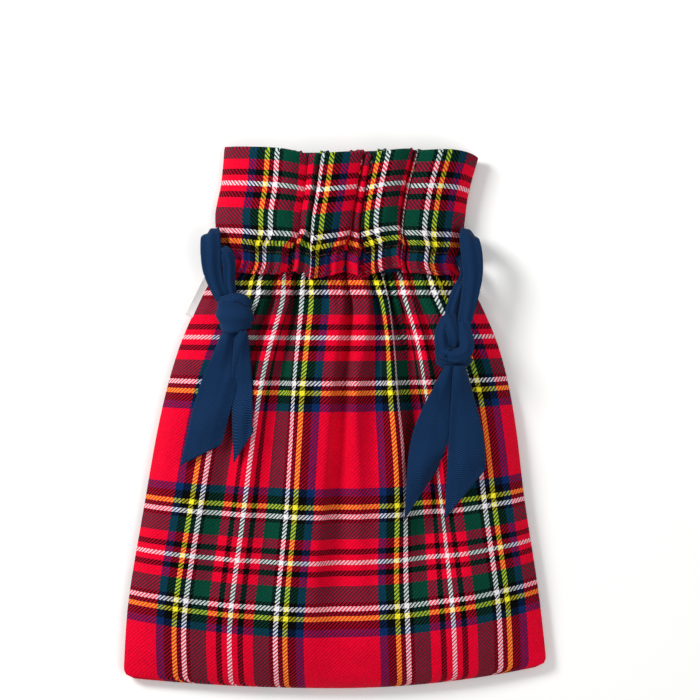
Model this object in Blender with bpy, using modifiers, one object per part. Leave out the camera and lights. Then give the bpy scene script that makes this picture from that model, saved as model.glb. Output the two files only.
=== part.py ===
"""Drawstring gift sack of woven cloth, lying on its back with its mouth toward +Y.

Two cloth panels are sewn together round the sides and the bottom. The top of each panel is turned
over to the outside as a deep cuff. Two rows of stitching through the cuff leave a casing between
them, and a flat tape runs round the neck in it from each side. Each tape comes out at its own side,
is tied in a knot on the front, and ends in two tails. A blank woven label is caught in the left seam.

Metres, +X right, +Y toward the mouth, +Z up. The origin is under the middle of the sack, on the
surface that it lies on.
"""

import math
from collections import namedtuple

import bmesh
import bpy
from mathutils import Vector

# Overall sizes
SACK_LENGTH = 0.332
HALF_LENGTH = SACK_LENGTH / 2

COLLECTION = "gift_sack"

# Cloth
CLOTH = 0.0012  # thickness, with its nap and the air in its folds
LAYER_GAP = 0.0004  # left between layers that lie on each other
CORNER_RADIUS = 0.007
PUFF_POWER = 2.6  # how square the puffed section is: 2 is an ellipse
PUFF_ROUND = 0.6
BOTTOM_ROUND = 0.060  # the length over which the front rises from the bottom seam
FLAT_SHARE = 0.74  # of the back's half width, which lies on the surface
ROW_CROWDING = 0.65  # how much closer the rows of facets are at the ends than in the middle

# Where the cuff is sewn, measured along the sack
CUFF_EDGE = 0.0885
LOWER_ROW = 0.0905
UPPER_ROW = 0.1015
HEADING_START = 0.1035

SLIT_RECESS = 0.0055  # how far the lining stands back from each open end of the casing

# Heights above the surface the sack lies on
BACK_SEAM = 0.0040
FRONT_SEAM = 0.0068
BODY_HEIGHT = 0.0250
BACK_CASING = 0.0014
BACK_LINING = 0.0058
THROAT = 0.0080  # clear height between the back and the front at the neck
FRONT_LINING = BACK_LINING + CLOTH + THROAT
FRONT_CASING = FRONT_LINING + CLOTH + 0.0032
RIDGE = 0.0024  # height of the gathers drawn up at the neck
RIDGE_PITCH = 0.030
HEADING_FLARE = 0.0050  # how far the heading rises from the stitching to its top edge
HEADING_HEM = 0.0030  # between the two layers of the heading, at the turned top edge
HEADING_EDGE = 0.0110  # top of the front heading at its side seams

# Tapes
TAPE = 0.0014
BUNCHED = (0.0056, 0.0020)  # width and thickness of a tape gathered in the casing
LEFT_LANE = 0.0924
RIGHT_LANE = 0.0990
FRONT_RUN = FRONT_LINING + CLOTH + 0.0015
BACK_RUN = 0.0041
BEND = 0.0026  # radius of a tape where it turns round the end of the casing
PULL = 0.025  # travel of each tape when it is drawn out of the casing
CLEAR = 0.0014  # kept under a tape or a knot that lies on the faceted front

# Threads and the label
THREAD = 0.0008
LABEL_SPAN = (0.0870, 0.0620)  # where the label starts and ends, measured along the sack
LABEL_WIDTH = 0.0060
LABEL = 0.0006

# The outline: distance along the sack, then the left and right edges
OUTLINE = (
    (-0.166, -0.1300, 0.1300),
    (-0.120, -0.1270, 0.1250),
    (-0.060, -0.1175, 0.1165),
    (0.000, -0.1070, 0.1095),
    (0.040, -0.0965, 0.1010),
    (0.068, -0.0850, 0.0900),
    (0.084, -0.0770, 0.0810),
    (0.095, -0.0700, 0.0745),
    (0.106, -0.0720, 0.0775),
    (0.122, -0.0735, 0.0795),
    (0.140, -0.0700, 0.0820),
    (0.166, -0.0675, 0.0890),
)
# How far the left and right bottom corners are drawn up by the gathered neck
CORNER_RISE = (0.006, 0.013)

# What each tape does outside the casing. A route lists (point, width direction, width) from the open
# end of the casing to the knot. A tail is given by its left and right edges, from the knot to its end.
Knot = namedtuple("Knot", "centre half_size half_height front_route back_route tails")
KNOTS = {
    "left": Knot(
        centre=(-0.0610, 0.0610),
        half_size=(0.0105, 0.0105),
        half_height=0.0060,
        front_route=(
            ((-0.0760, 0.0885, 0.0185), (-0.7, 0.7, 0.0), 0.0080),
            ((-0.0750, 0.0820, 0.0205), (-1.0, 0.0, 0.0), 0.0095),
            ((-0.0700, 0.0755, 0.0205), (-0.8, -0.5, 0.0), 0.0100),
            ((-0.0655, 0.0728, 0.0205), (-0.8, -0.5, 0.0), 0.0090),
        ),
        back_route=(
            ((-0.0770, 0.0955, 0.0055), (0.0, 1.0, 0.0), 0.0060),
            ((-0.0810, 0.1010, 0.0115), (0.0, 1.0, -0.4), 0.0060),
            ((-0.0798, 0.1060, 0.0185), (0.6, 0.7, 0.0), 0.0065),
            ((-0.0785, 0.1010, 0.0235), (1.0, 0.2, 0.0), 0.0080),
            ((-0.0763, 0.0920, 0.0250), (1.0, 0.0, 0.0), 0.0105),
            ((-0.0720, 0.0815, 0.0250), (1.0, 0.3, 0.0), 0.0110),
            ((-0.0662, 0.0735, 0.0242), (0.8, 0.5, 0.0), 0.0100),
        ),
        tails={
            "outer": (
                ((-0.0672, 0.0492), (-0.0836, 0.0153), (-0.0940, -0.0287)),
                ((-0.0612, 0.0492), (-0.0627, 0.0200), (-0.0626, -0.0116)),
            ),
            "inner": (
                ((-0.0604, 0.0492), (-0.0618, 0.0180), (-0.0616, -0.0262)),
                ((-0.0545, 0.0492), (-0.0506, 0.0238), (-0.0506, -0.0085)),
            ),
        },
    ),
    "right": Knot(
        centre=(0.0720, 0.0427),
        half_size=(0.0107, 0.0131),
        half_height=0.0062,
        front_route=(
            ((0.0805, 0.0955, 0.0182), (0.7, 0.7, 0.0), 0.0070),
            ((0.0800, 0.0880, 0.0202), (1.0, 0.0, 0.0), 0.0085),
            ((0.0760, 0.0760, 0.0215), (1.0, 0.1, 0.0), 0.0100),
            ((0.0715, 0.0640, 0.0215), (1.0, 0.1, 0.0), 0.0100),
            ((0.0700, 0.0575, 0.0215), (1.0, 0.0, 0.0), 0.0090),
        ),
        back_route=(
            ((0.0830, 0.1010, 0.0065), (0.0, 1.0, 0.0), 0.0060),
            ((0.0878, 0.1060, 0.0125), (0.0, 1.0, -0.4), 0.0060),
            ((0.0875, 0.1100, 0.0190), (-0.6, 0.7, 0.0), 0.0065),
            ((0.0862, 0.1040, 0.0240), (-1.0, 0.2, 0.0), 0.0085),
            ((0.0845, 0.0930, 0.0262), (-1.0, 0.0, 0.0), 0.0115),
            ((0.0825, 0.0780, 0.0268), (-1.0, 0.0, 0.0), 0.0115),
            ((0.0795, 0.0650, 0.0264), (-1.0, -0.1, 0.0), 0.0110),
            ((0.0768, 0.0575, 0.0258), (-1.0, -0.2, 0.0), 0.0100),
        ),
        tails={
            "inner": (
                ((0.0665, 0.0283), (0.0470, -0.0098), (0.0420, -0.0622)),
                ((0.0715, 0.0283), (0.0696, -0.0080), (0.0622, -0.0311)),
            ),
            "outer": (
                ((0.0723, 0.0283), (0.0706, -0.0120), (0.0671, -0.0610)),
                ((0.0780, 0.0283), (0.0890, -0.0060), (0.0915, -0.0310)),
            ),
        },
    ),
}

RED = (0.78, 0.01, 0.03, 1.0)
NAVY = (0.02, 0.05, 0.13, 1.0)
WHITE = (0.86, 0.86, 0.84, 1.0)
DARK_RED = (0.30, 0.01, 0.02, 1.0)


def smooth(t):
    """Ease from 0 to 1 as t goes from 0 to 1."""
    t = min(max(t, 0.0), 1.0)
    return t * t * (3.0 - 2.0 * t)


def through(points, x):
    """Read a smooth curve through (x, value, ...) points at x, as a list of values."""
    spans = len(points) - 1
    i = 0
    while i < spans - 1 and x > points[i + 1][0]:
        i += 1
    before, start, end, after = (points[min(max(j, 0), spans)] for j in (i - 1, i, i + 1, i + 2))
    width = end[0] - start[0]
    t = min(max((x - start[0]) / width, 0.0), 1.0)
    values = []
    for a, b, c, d in zip(before[1:], start[1:], end[1:], after[1:]):
        leave = (c - a) / max(end[0] - before[0], 1e-9) * width
        arrive = (d - b) / max(after[0] - start[0], 1e-9) * width
        values.append(
            b * (1 + 2 * t) * (1 - t) ** 2
            + leave * t * (1 - t) ** 2
            + c * t * t * (3 - 2 * t)
            - arrive * t * t * (1 - t)
        )
    return values


def edges_at(y):
    """Left and right edges of the sack, with its bottom corners rounded."""
    left, right = through(OUTLINE, y)
    up = y + HALF_LENGTH
    if up < CORNER_RADIUS:
        inset = CORNER_RADIUS - math.sqrt(CORNER_RADIUS**2 - (CORNER_RADIUS - up) ** 2)
        left, right = left + inset, right - inset
    return left, right


def plan(side, y):
    """X and Y of the point at side, from -1 at the left edge to 1 at the right, and y along the middle."""
    left, right = edges_at(y)
    drawn_up = CORNER_RISE[0] if side < 0 else CORNER_RISE[1]
    fade = 1.0 - smooth((y + HALF_LENGTH) / (CUFF_EDGE + HALF_LENGTH))
    return left + (right - left) * (side + 1) / 2, y + drawn_up * side * side * fade


def puff(share):
    """Height of the puffed section at a share of its half width, from 1 in the middle to 0."""
    return (1.0 - min(abs(share), 1.0) ** PUFF_POWER) ** PUFF_ROUND


def ridge(x, y):
    """Height that the gathers add to the outer cloth of the neck."""
    wave = 0.5 - 0.5 * math.cos(2 * math.pi * x / RIDGE_PITCH)
    drawn_flat = abs(y - UPPER_ROW) / 0.020
    return RIDGE * wave * (0.5 + 0.5 * smooth(drawn_flat))


def into_neck(y, start):
    """Ease from 0 at start to 1 just below the cuff, along the sack."""
    return smooth((y - start) / (CUFF_EDGE - 0.006 - start))


def front_top(side, y):
    """Outer surface of the front cloth of the body, and of the layer behind the casing."""
    end = puff(1.0 - min((y + HALF_LENGTH) / BOTTOM_ROUND, 1.0))
    middle = BODY_HEIGHT + (FRONT_LINING + CLOTH - BODY_HEIGHT) * into_neck(y, 0.010)
    edge = FRONT_SEAM + (BACK_LINING - BACK_SEAM + LAYER_GAP) * into_neck(y, 0.040)
    return edge + (middle - edge) * puff(side) * end


def back_bottom(side, y):
    """Lower surface of the back cloth: flat where the sack lies, rising to the seam all round."""
    outside = max(abs(side) - FLAT_SHARE, 0.0) / (1 - FLAT_SHARE)
    near_bottom = max(0.014 - (y + HALF_LENGTH), 0.0) / 0.014
    lift = BACK_SEAM * smooth(max(outside, near_bottom))
    return lift + (BACK_LINING - lift) * into_neck(y, 0.045)


def front_casing_top(side, y):
    """Outer surface of the cloth over the front tapes."""
    x = plan(side, y)[0]
    return FRONT_CASING + CLOTH + ridge(x, y)


def front_heading_top(side, y):
    """Outer surface of the front cuff above the stitching."""
    x = plan(side, y)[0]
    up = smooth((y - HEADING_START) / (HALF_LENGTH - HEADING_START))
    middle = FRONT_CASING + CLOTH + HEADING_FLARE * up
    return HEADING_EDGE + (middle - HEADING_EDGE) * puff(side) + ridge(x, y) * (1 - side**4)


def back_heading_bottom(side):
    """Lower surface of the back cuff above the stitching."""
    return 0.5 * BACK_SEAM * smooth(max(abs(side) - 0.70, 0.0) / 0.30)


def finish_for(name, colour, roughness):
    """A matte textile finish."""
    material = bpy.data.materials.new(name)
    material.use_nodes = True
    shader = material.node_tree.nodes["Principled BSDF"]
    shader.inputs["Base Color"].default_value = colour
    shader.inputs["Roughness"].default_value = roughness
    shader.inputs["Metallic"].default_value = 0.0
    return material


def strip(name, columns, rows, place, thickness, material, outward=-1.0):
    """A sheet over a grid whose points place(u, t) puts, both 0 to 1, thickened to one side.

    The grid's face looks up. outward is -1 to thicken it downward, 1 upward and 0 both ways.
    """
    sheet = bmesh.new()
    bmesh.ops.create_grid(sheet, x_segments=columns, y_segments=rows, size=0.5)
    for vertex in sheet.verts:
        vertex.co = place(vertex.co.x + 0.5, vertex.co.y + 0.5)
    mesh = bpy.data.meshes.new(name)
    sheet.to_mesh(mesh)
    sheet.free()
    mesh.shade_smooth()
    piece = bpy.data.objects.new(name, mesh)
    bpy.data.collections[COLLECTION].objects.link(piece)
    mesh.materials.append(material)
    wall = piece.modifiers.new("Thickness", "SOLIDIFY")
    wall.thickness = thickness
    wall.offset = outward
    return piece


def thread(name, points, material):
    """A sewing thread through points."""
    curve = bpy.data.curves.new(name, "CURVE")
    curve.dimensions = "3D"
    curve.bevel_depth = THREAD / 2
    curve.bevel_resolution = 0
    curve.use_fill_caps = True
    run = curve.splines.new("POLY")
    run.points.add(len(points) - 1)
    for point, place in zip(run.points, points):
        point.co = (*place, 1.0)
    curve.materials.append(material)
    piece = bpy.data.objects.new(name, curve)
    bpy.data.collections[COLLECTION].objects.link(piece)
    return piece


def tape_run(name, route, bunch, material):
    """A tape along a route of (point, width direction, width) stops, the width across the run."""
    stops = []
    for point, across, width in route:
        step = (Vector(point) - Vector(stops[-1][1:4])).length if stops else 0.0
        reached = stops[-1][0] + step if stops else 0.0
        stops.append((reached, *point, *Vector(across).normalized(), width))

    def place(u, t):
        index = min(int(t * (len(stops) - 1)), len(stops) - 2)
        start, end = stops[index][0], stops[index + 1][0]
        reach = start + (end - start) * (t * (len(stops) - 1) - index)
        x, y, z, *across, width = through(stops, reach)
        ahead = Vector(through(stops, min(reach + TAPE / 4, stops[-1][0]))[:3])
        behind = Vector(through(stops, max(reach - TAPE / 4, 0.0))[:3])
        run = (ahead - behind).normalized()
        over = Vector(across)
        over = (over - run * over.dot(run)).normalized()
        return Vector((x, y, z)) + over * width * (u - 0.5)

    return strip(name, 2, 4 * (len(route) - 1), place, bunch, material, outward=0.0)


def on_front(x, y):
    """Height of the front cloth's outer surface under a point of the plan."""
    left, right = edges_at(y)
    side = (2 * x - left - right) / (right - left)
    return front_top(side, y)


def build_body(cloth, thread_finish):
    """The two panels below the casing, and the bound seam allowances inside the sack."""
    length = HEADING_START - 0.0005 + HALF_LENGTH

    def along(t):
        """Rows close together at the bottom seam and the neck, and further apart between."""
        return -HALF_LENGTH + length * (t - ROW_CROWDING * math.sin(2 * math.pi * t) / (2 * math.pi))

    def lined(side, y):
        """The plan, with the cloth behind the casing set in so that a tape can turn at its end."""
        x, moved_y = plan(side, y)
        return x - side * SLIT_RECESS * smooth((y - CUFF_EDGE + 0.008) / 0.008), moved_y

    def front(u, t):
        side, y = 2 * u - 1, along(t)
        side = math.copysign(abs(side) ** 0.86, side)
        return (*lined(side, y), front_top(side, y))

    def back(u, t):
        side, y = 2 * u - 1, along(t)
        side = math.copysign(abs(side) ** 0.80, side)
        return (*lined(side, y), back_bottom(side, y))

    strip("front_panel", 24, 20, front, CLOTH, cloth)
    strip("back_panel", 18, 16, back, CLOTH, cloth, outward=1.0)

    def allowance(edge):
        def place(u, t):
            y = -HALF_LENGTH + 0.018 + (CUFF_EDGE - 0.024 + HALF_LENGTH - 0.018) * t
            x, y = plan(edge, y)
            inset = 0.0030 + 0.0070 * (1 - u if edge > 0 else u)
            return (x - edge * inset, y, (BACK_SEAM + CLOTH + FRONT_SEAM) / 2 + 0.0004)

        return place

    strip("left_seam_allowance", 1, 12, allowance(-1), 0.0008, thread_finish, outward=0.0)
    strip("right_seam_allowance", 1, 12, allowance(1), 0.0008, thread_finish, outward=0.0)

    def bottom(u, t):
        side = (2 * u - 1) * 0.84
        x, y = plan(side, -HALF_LENGTH)
        return (x, y + 0.0030 + 0.0060 * t, (BACK_SEAM + CLOTH + FRONT_SEAM) / 2 + 0.0002)

    strip("bottom_seam_allowance", 12, 1, bottom, 0.0008, thread_finish, outward=0.0)


def build_cuffs(cloth, thread_finish):
    """The outer cloth of the casings, the doubled headings, and the rows of stitching."""
    reach = HEADING_START - 0.0005 - CUFF_EDGE

    def front_casing(u, t):
        side, y = 2 * u - 1, CUFF_EDGE + reach * t
        return (*plan(side, y), front_casing_top(side, y))

    def back_casing(u, t):
        side, y = 2 * u - 1, CUFF_EDGE + reach * t
        return (*plan(side, y), BACK_CASING)

    strip("front_casing", 30, 3, front_casing, CLOTH, cloth)
    strip("back_casing", 10, 3, back_casing, CLOTH, cloth, outward=1.0)

    fold = 0.13  # the share of the way over the heading that its turned top edge takes
    hem = HEADING_HEM / 2

    def over_heading(t):
        """Y, and 1 on the outer layer falling to 0 on the lining, along the turned cloth."""
        straight = HALF_LENGTH - hem - HEADING_START
        if t < 0.5 - fold / 2:
            return HEADING_START + straight * t / (0.5 - fold / 2), 1.0
        if t > 0.5 + fold / 2:
            return HEADING_START + straight * (1 - t) / (0.5 - fold / 2), 0.0
        turn = math.pi * (t - 0.5 + fold / 2) / fold
        return HALF_LENGTH - hem + hem * math.sin(turn), 0.5 + 0.5 * math.cos(turn)

    def drop(side, y):
        """Distance between the two layers, which part at the stitching and close at the side seams."""
        closed = CLOTH + 2 * LAYER_GAP
        at_stitching = 0.0022 * (1 - smooth((y - HEADING_START) / 0.030))
        return closed + (HEADING_HEM - closed + at_stitching) * (1 - side**4)

    def front_heading(u, t):
        side = 2 * u - 1
        y, outer = over_heading(t)
        return (*plan(side, y), front_heading_top(side, y) - drop(side, y) * (1 - outer))

    def back_heading(u, t):
        side = 2 * u - 1
        y, outer = over_heading(t)
        return (*plan(side, y), back_heading_bottom(side) + drop(side, y) * (1 - outer))

    strip("front_heading", 30, 15, front_heading, CLOTH, cloth)
    strip("back_heading", 14, 13, back_heading, CLOTH, cloth, outward=1.0)

    def row(name, y, height):
        points = []
        for step in range(2, 29):
            side = 2 * step / 30 - 1
            x = plan(side, y)[0]
            points.append((x, y, height(side, y)))
        thread(name, points, thread_finish)

    clear = 0.0004 + THREAD / 2
    for name, y in (("lower", LOWER_ROW), ("upper", UPPER_ROW)):
        row(f"front_{name}_stitching", y, lambda side, y: front_casing_top(side, y) + clear)
        row(f"back_{name}_stitching", y, lambda side, y: BACK_CASING - clear)


def build_drawstring(hand, lane, tape):
    """One tape: the stretch hidden in the casing, the two strands that leave it, and its knot."""
    sign = -1.0 if hand == "left" else 1.0
    width, bunch = BUNCHED
    ends = [edges_at(lane + side * width / 2) for side in (-1, 1)]
    left, right = min(end[0] for end in ends), max(end[1] for end in ends)
    near, far = (left, right) if sign < 0 else (right, left)
    inner = near - sign * (PULL + 0.010)
    turn = far + sign * (SLIT_RECESS - 2 * LAYER_GAP - bunch)
    across = (0.0, 1.0, 0.0)

    def half_turn(level, upward):
        """Stops from the hidden end of a run, along it and round a quarter turn to the upright."""
        stops = [(inner - sign * LAYER_GAP, level)]
        stops += [(turn + sign * (BEND + ahead), level) for ahead in (0.008, 0.0025)]
        for angle in (0.0, math.pi / 4, math.pi / 2):
            x = turn + sign * BEND * (1 - math.sin(angle))
            stops.append((x, level - upward * BEND * (1 - math.cos(angle))))
        return [((x, lane, z), across, width) for x, z in stops]

    middle = ((turn, lane, (FRONT_RUN + BACK_RUN) / 2), across, width)
    hidden = half_turn(FRONT_RUN, 1) + [middle] + half_turn(BACK_RUN, -1)[::-1]
    tape_run(f"{hand}_tape_in_casing", hidden, bunch, tape)

    def strand(level, route):
        """The stretch from the casing, straight along X while it is inside it, then by the route."""
        inside = (
            ((inner, lane, level), across, width),
            (((inner + near) / 2, lane, level), across, width),
            ((near, lane, level), across, width),
        )
        return inside + route

    x, y = KNOTS[hand].centre
    rise = on_front(x, y) + CLEAR + KNOTS[hand].half_height
    tape_run(f"{hand}_front_strand", strand(FRONT_RUN, KNOTS[hand].front_route), TAPE, tape)
    tape_run(f"{hand}_back_strand", strand(BACK_RUN, KNOTS[hand].back_route), TAPE, tape)
    knot = bmesh.new()
    bmesh.ops.create_uvsphere(knot, u_segments=14, v_segments=8, radius=1.0)
    size = Vector((*KNOTS[hand].half_size, KNOTS[hand].half_height))
    bmesh.ops.scale(knot, vec=size, verts=knot.verts)
    mesh = bpy.data.meshes.new(f"{hand}_knot")
    knot.to_mesh(mesh)
    knot.free()
    mesh.shade_smooth()
    mesh.materials.append(tape)
    piece = bpy.data.objects.new(f"{hand}_knot", mesh)
    piece.location = (x, y, rise)
    bpy.data.collections[COLLECTION].objects.link(piece)
    for where, (outline_left, outline_right) in KNOTS[hand].tails.items():
        tail(f"{hand}_{where}_tail", outline_left, outline_right, tape)


def tail(name, left_edge, right_edge, tape):
    """The end of a tape, lying on the front cloth, between its left and right edges in plan."""
    left_stops = [(index, *point) for index, point in enumerate(left_edge)]
    right_stops = [(index, *point) for index, point in enumerate(right_edge)]

    def place(u, t):
        reach = (1 - t) * (len(left_stops) - 1)
        a = Vector(through(left_stops, reach))
        b = Vector(through(right_stops, reach))
        x, y = a.lerp(b, u)
        return (x, y, on_front(x, y) + CLEAR + TAPE)

    strip(name, 3, 9, place, TAPE, tape)


def build_label(label_finish):
    """The woven label, flat, caught by one long edge in the left seam."""
    top, bottom = (Vector((edges_at(y)[0], y)) for y in LABEL_SPAN)
    run = (bottom - top).normalized()
    outward = Vector((run.y, -run.x))
    if outward.x > 0:
        outward.negate()
    level = (BACK_SEAM + CLOTH + FRONT_SEAM) / 2 + LABEL

    def place(u, t):
        x, y = bottom + (top - bottom) * t + outward * (2 * LAYER_GAP + LABEL_WIDTH * (1 - u))
        return (x, y, level)

    strip("side_label", 2, 6, place, LABEL, label_finish)


def main():
    """Build the sack in its own collection."""
    for old in list(bpy.data.objects):
        bpy.data.objects.remove(old, do_unlink=True)
    bpy.context.scene.collection.children.link(bpy.data.collections.new(COLLECTION))
    cloth = finish_for("tartan_cloth", RED, 0.85)
    thread_finish = finish_for("sewing_thread", DARK_RED, 0.7)
    tape = finish_for("drawstring_tape", NAVY, 0.8)
    build_body(cloth, thread_finish)
    build_cuffs(cloth, thread_finish)
    build_drawstring("left", LEFT_LANE, tape)
    build_drawstring("right", RIGHT_LANE, tape)
    build_label(finish_for("woven_label", WHITE, 0.75))


main()
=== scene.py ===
"""Studio scene of a drawstring gift sack, sewn from tartan cloth and lying on its back.

The sack's front and back are gathered at the neck by two flat tapes, which run in a casing from either
side and are knotted on the front. The mouth is a deep cuff, turned over to the outside.

Metres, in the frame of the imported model: +X right, +Y toward the mouth, +Z up.
"""

import logging
import math
from dataclasses import dataclass
from enum import Enum
from typing import Any, Callable

import bmesh
import bpy
import numpy as np
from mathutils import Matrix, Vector
from mathutils.bvhtree import BVHTree


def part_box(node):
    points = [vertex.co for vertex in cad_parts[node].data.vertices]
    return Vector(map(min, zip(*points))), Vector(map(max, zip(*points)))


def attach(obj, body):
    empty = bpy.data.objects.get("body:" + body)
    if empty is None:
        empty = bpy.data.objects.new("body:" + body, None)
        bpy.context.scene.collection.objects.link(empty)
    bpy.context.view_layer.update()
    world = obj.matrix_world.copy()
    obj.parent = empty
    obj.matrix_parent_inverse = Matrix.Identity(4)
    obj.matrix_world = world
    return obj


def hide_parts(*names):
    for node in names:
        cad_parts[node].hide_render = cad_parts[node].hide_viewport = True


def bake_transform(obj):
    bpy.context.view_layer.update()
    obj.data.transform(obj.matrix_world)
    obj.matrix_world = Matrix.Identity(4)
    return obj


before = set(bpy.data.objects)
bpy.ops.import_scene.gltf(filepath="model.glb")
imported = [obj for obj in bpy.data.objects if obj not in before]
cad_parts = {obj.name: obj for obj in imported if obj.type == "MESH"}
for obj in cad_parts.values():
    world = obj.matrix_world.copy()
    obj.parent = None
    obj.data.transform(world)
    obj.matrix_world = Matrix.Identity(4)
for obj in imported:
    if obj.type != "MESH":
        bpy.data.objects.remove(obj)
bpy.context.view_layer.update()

log = logging.getLogger("gift_sack")

Stops = tuple[tuple[float, ...], ...]
Surface = Callable[[np.ndarray, np.ndarray], np.ndarray]
Course = Callable[[np.ndarray], np.ndarray]
Socket = bpy.types.NodeSocket

MM = 0.001


# ---------------------------------------------------------------------------------------------------
# Shared tools


def smooth(t: np.ndarray | float) -> np.ndarray:
    """Ease from 0 to 1 as t goes from 0 to 1."""
    t = np.clip(t, 0.0, 1.0)
    return t * t * (3.0 - 2.0 * t)


def through(stops: Stops, x: np.ndarray | float) -> np.ndarray:
    """Read a smooth curve through stops at x.

    Args:
        stops: (x, value, ...) points, in rising order of x.
        x: One place or an array of places.

    Returns:
        An array of the values at x, one row for each value of a stop.
    """
    table = np.array(stops, float)
    at, values = table[:, 0], table[:, 1:]
    x = np.clip(np.atleast_1d(np.asarray(x, float)), at[0], at[-1])
    i = np.clip(np.searchsorted(at, x, side="right") - 1, 0, len(at) - 2)
    before, after = np.maximum(i - 1, 0), np.minimum(i + 2, len(at) - 1)
    width = at[i + 1] - at[i]
    t = ((x - at[i]) / width)[:, None]
    leave = (values[i + 1] - values[before]) / (at[i + 1] - at[before])[:, None] * width[:, None]
    arrive = (values[after] - values[i]) / (at[after] - at[i])[:, None] * width[:, None]
    read = (
        values[i] * (1 + 2 * t) * (1 - t) ** 2
        + leave * t * (1 - t) ** 2
        + values[i + 1] * t * t * (3 - 2 * t)
        - arrive * t * t * (1 - t)
    )
    return read.T


def run_along(points: np.ndarray) -> np.ndarray:
    """How far along a line of points each of them lies, with a point in each row."""
    return np.concatenate([[0.0], np.cumsum(np.linalg.norm(np.diff(points, axis=0), axis=1))])


def linear(hex_colour: str) -> tuple[float, float, float, float]:
    """Turn an sRGB hex colour into the linear colour that a shader takes.

    Args:
        hex_colour: The colour, as #RRGGBB.

    Returns:
        Red, green, blue and alpha, each from 0 to 1.
    """
    parts = [int(hex_colour.lstrip("#")[i : i + 2], 16) / 255 for i in (0, 2, 4)]
    red, green, blue = (c / 12.92 if c <= 0.04045 else ((c + 0.055) / 1.055) ** 2.4 for c in parts)
    return red, green, blue, 1.0


def add(tree: bpy.types.NodeTree, kind: str, links: dict[Any, Any], **settings: Any) -> bpy.types.Node:
    """Add a node to a tree.

    Args:
        tree: The node tree.
        kind: The node's type name, without the word ShaderNode.
        links: What each input takes, a socket to link or a plain value, by name or number.
        **settings: Attributes of the node.

    Returns:
        The new node.
    """
    node = tree.nodes.new("ShaderNode" + kind)
    for name, value in settings.items():
        setattr(node, name, value)
    for name, value in links.items():
        if isinstance(value, bpy.types.NodeSocket):
            tree.links.new(value, node.inputs[name])
        else:
            node.inputs[name].default_value = value
    return node


def start_material(name: str) -> tuple[bpy.types.Material, bpy.types.NodeTree, bpy.types.Node]:
    """Start a material.

    Args:
        name: What the real material is.

    Returns:
        The material, its node tree and its main shader.
    """
    material = bpy.data.materials.new(name)
    material.use_nodes = True
    return material, material.node_tree, material.node_tree.nodes["Principled BSDF"]


def set_surface(
    tree: bpy.types.NodeTree, colour: Socket, height: Socket, strength: float, depth: float
) -> None:
    """Give a material's main shader its colour and its relief.

    Args:
        tree: The material's node tree.
        colour: The colour's socket.
        height: The relief's socket.
        strength: How strongly the relief shows, from 0 to 1.
        depth: How deep it is, in metres.
    """
    shader = tree.nodes["Principled BSDF"]
    relief = add(tree, "Bump", {"Strength": strength, "Distance": depth, "Height": height})
    tree.links.new(relief.outputs[0], shader.inputs["Normal"])
    tree.links.new(colour, shader.inputs["Base Color"])


def grid_piece(name: str, points: np.ndarray, across: np.ndarray, along: np.ndarray) -> bpy.types.Object:
    """Make a sheet of quads through a grid of points, with its cloth measures as its UV map.

    Args:
        name: The piece's name.
        points: Places, by row, column and axis.
        across: Each column's distance across the cloth, in metres, or each point's.
        along: Each row's distance along the cloth, in metres.

    Returns:
        The new object, whose place is in its mesh.
    """
    rows, columns = points.shape[0] - 1, points.shape[1] - 1
    across = np.broadcast_to(across, points.shape[:2])
    sheet = bmesh.new()
    bmesh.ops.create_grid(sheet, x_segments=columns, y_segments=rows, size=0.5)
    chart = sheet.loops.layers.uv.new("UVMap")
    for face in sheet.faces:
        for loop in face.loops:
            column = round((loop.vert.co.x + 0.5) * columns)
            row = round((loop.vert.co.y + 0.5) * rows)
            loop[chart].uv = (across[row, column], along[row])
    for vertex in sheet.verts:
        column, row = round((vertex.co.x + 0.5) * columns), round((vertex.co.y + 0.5) * rows)
        vertex.co = points[row, column]
    mesh = bpy.data.meshes.new(name)
    sheet.to_mesh(mesh)
    sheet.free()
    mesh.shade_smooth()
    piece = bpy.data.objects.new(name, mesh)
    bpy.context.scene.collection.objects.link(piece)
    return piece


def thicken(piece: bpy.types.Object, thickness: float, outward: float) -> None:
    """Give a sheet its thickness.

    Args:
        piece: The sheet.
        thickness: In metres.
        outward: -1 to thicken it on the side that its faces point away from, 1 on the other.
    """
    wall = piece.modifiers.new("Thickness", "SOLIDIFY")
    wall.thickness = thickness
    wall.offset = outward
    wall.use_even_offset = False


def surface_of(piece: bpy.types.Object) -> BVHTree:
    """A search tree of a piece's own faces, without its modifiers.

    Args:
        piece: The piece.

    Returns:
        The tree.
    """
    work = bmesh.new()
    work.from_mesh(piece.data)
    tree = BVHTree.FromBMesh(work)
    work.free()
    return tree


# ---------------------------------------------------------------------------------------------------
# Finishes


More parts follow.
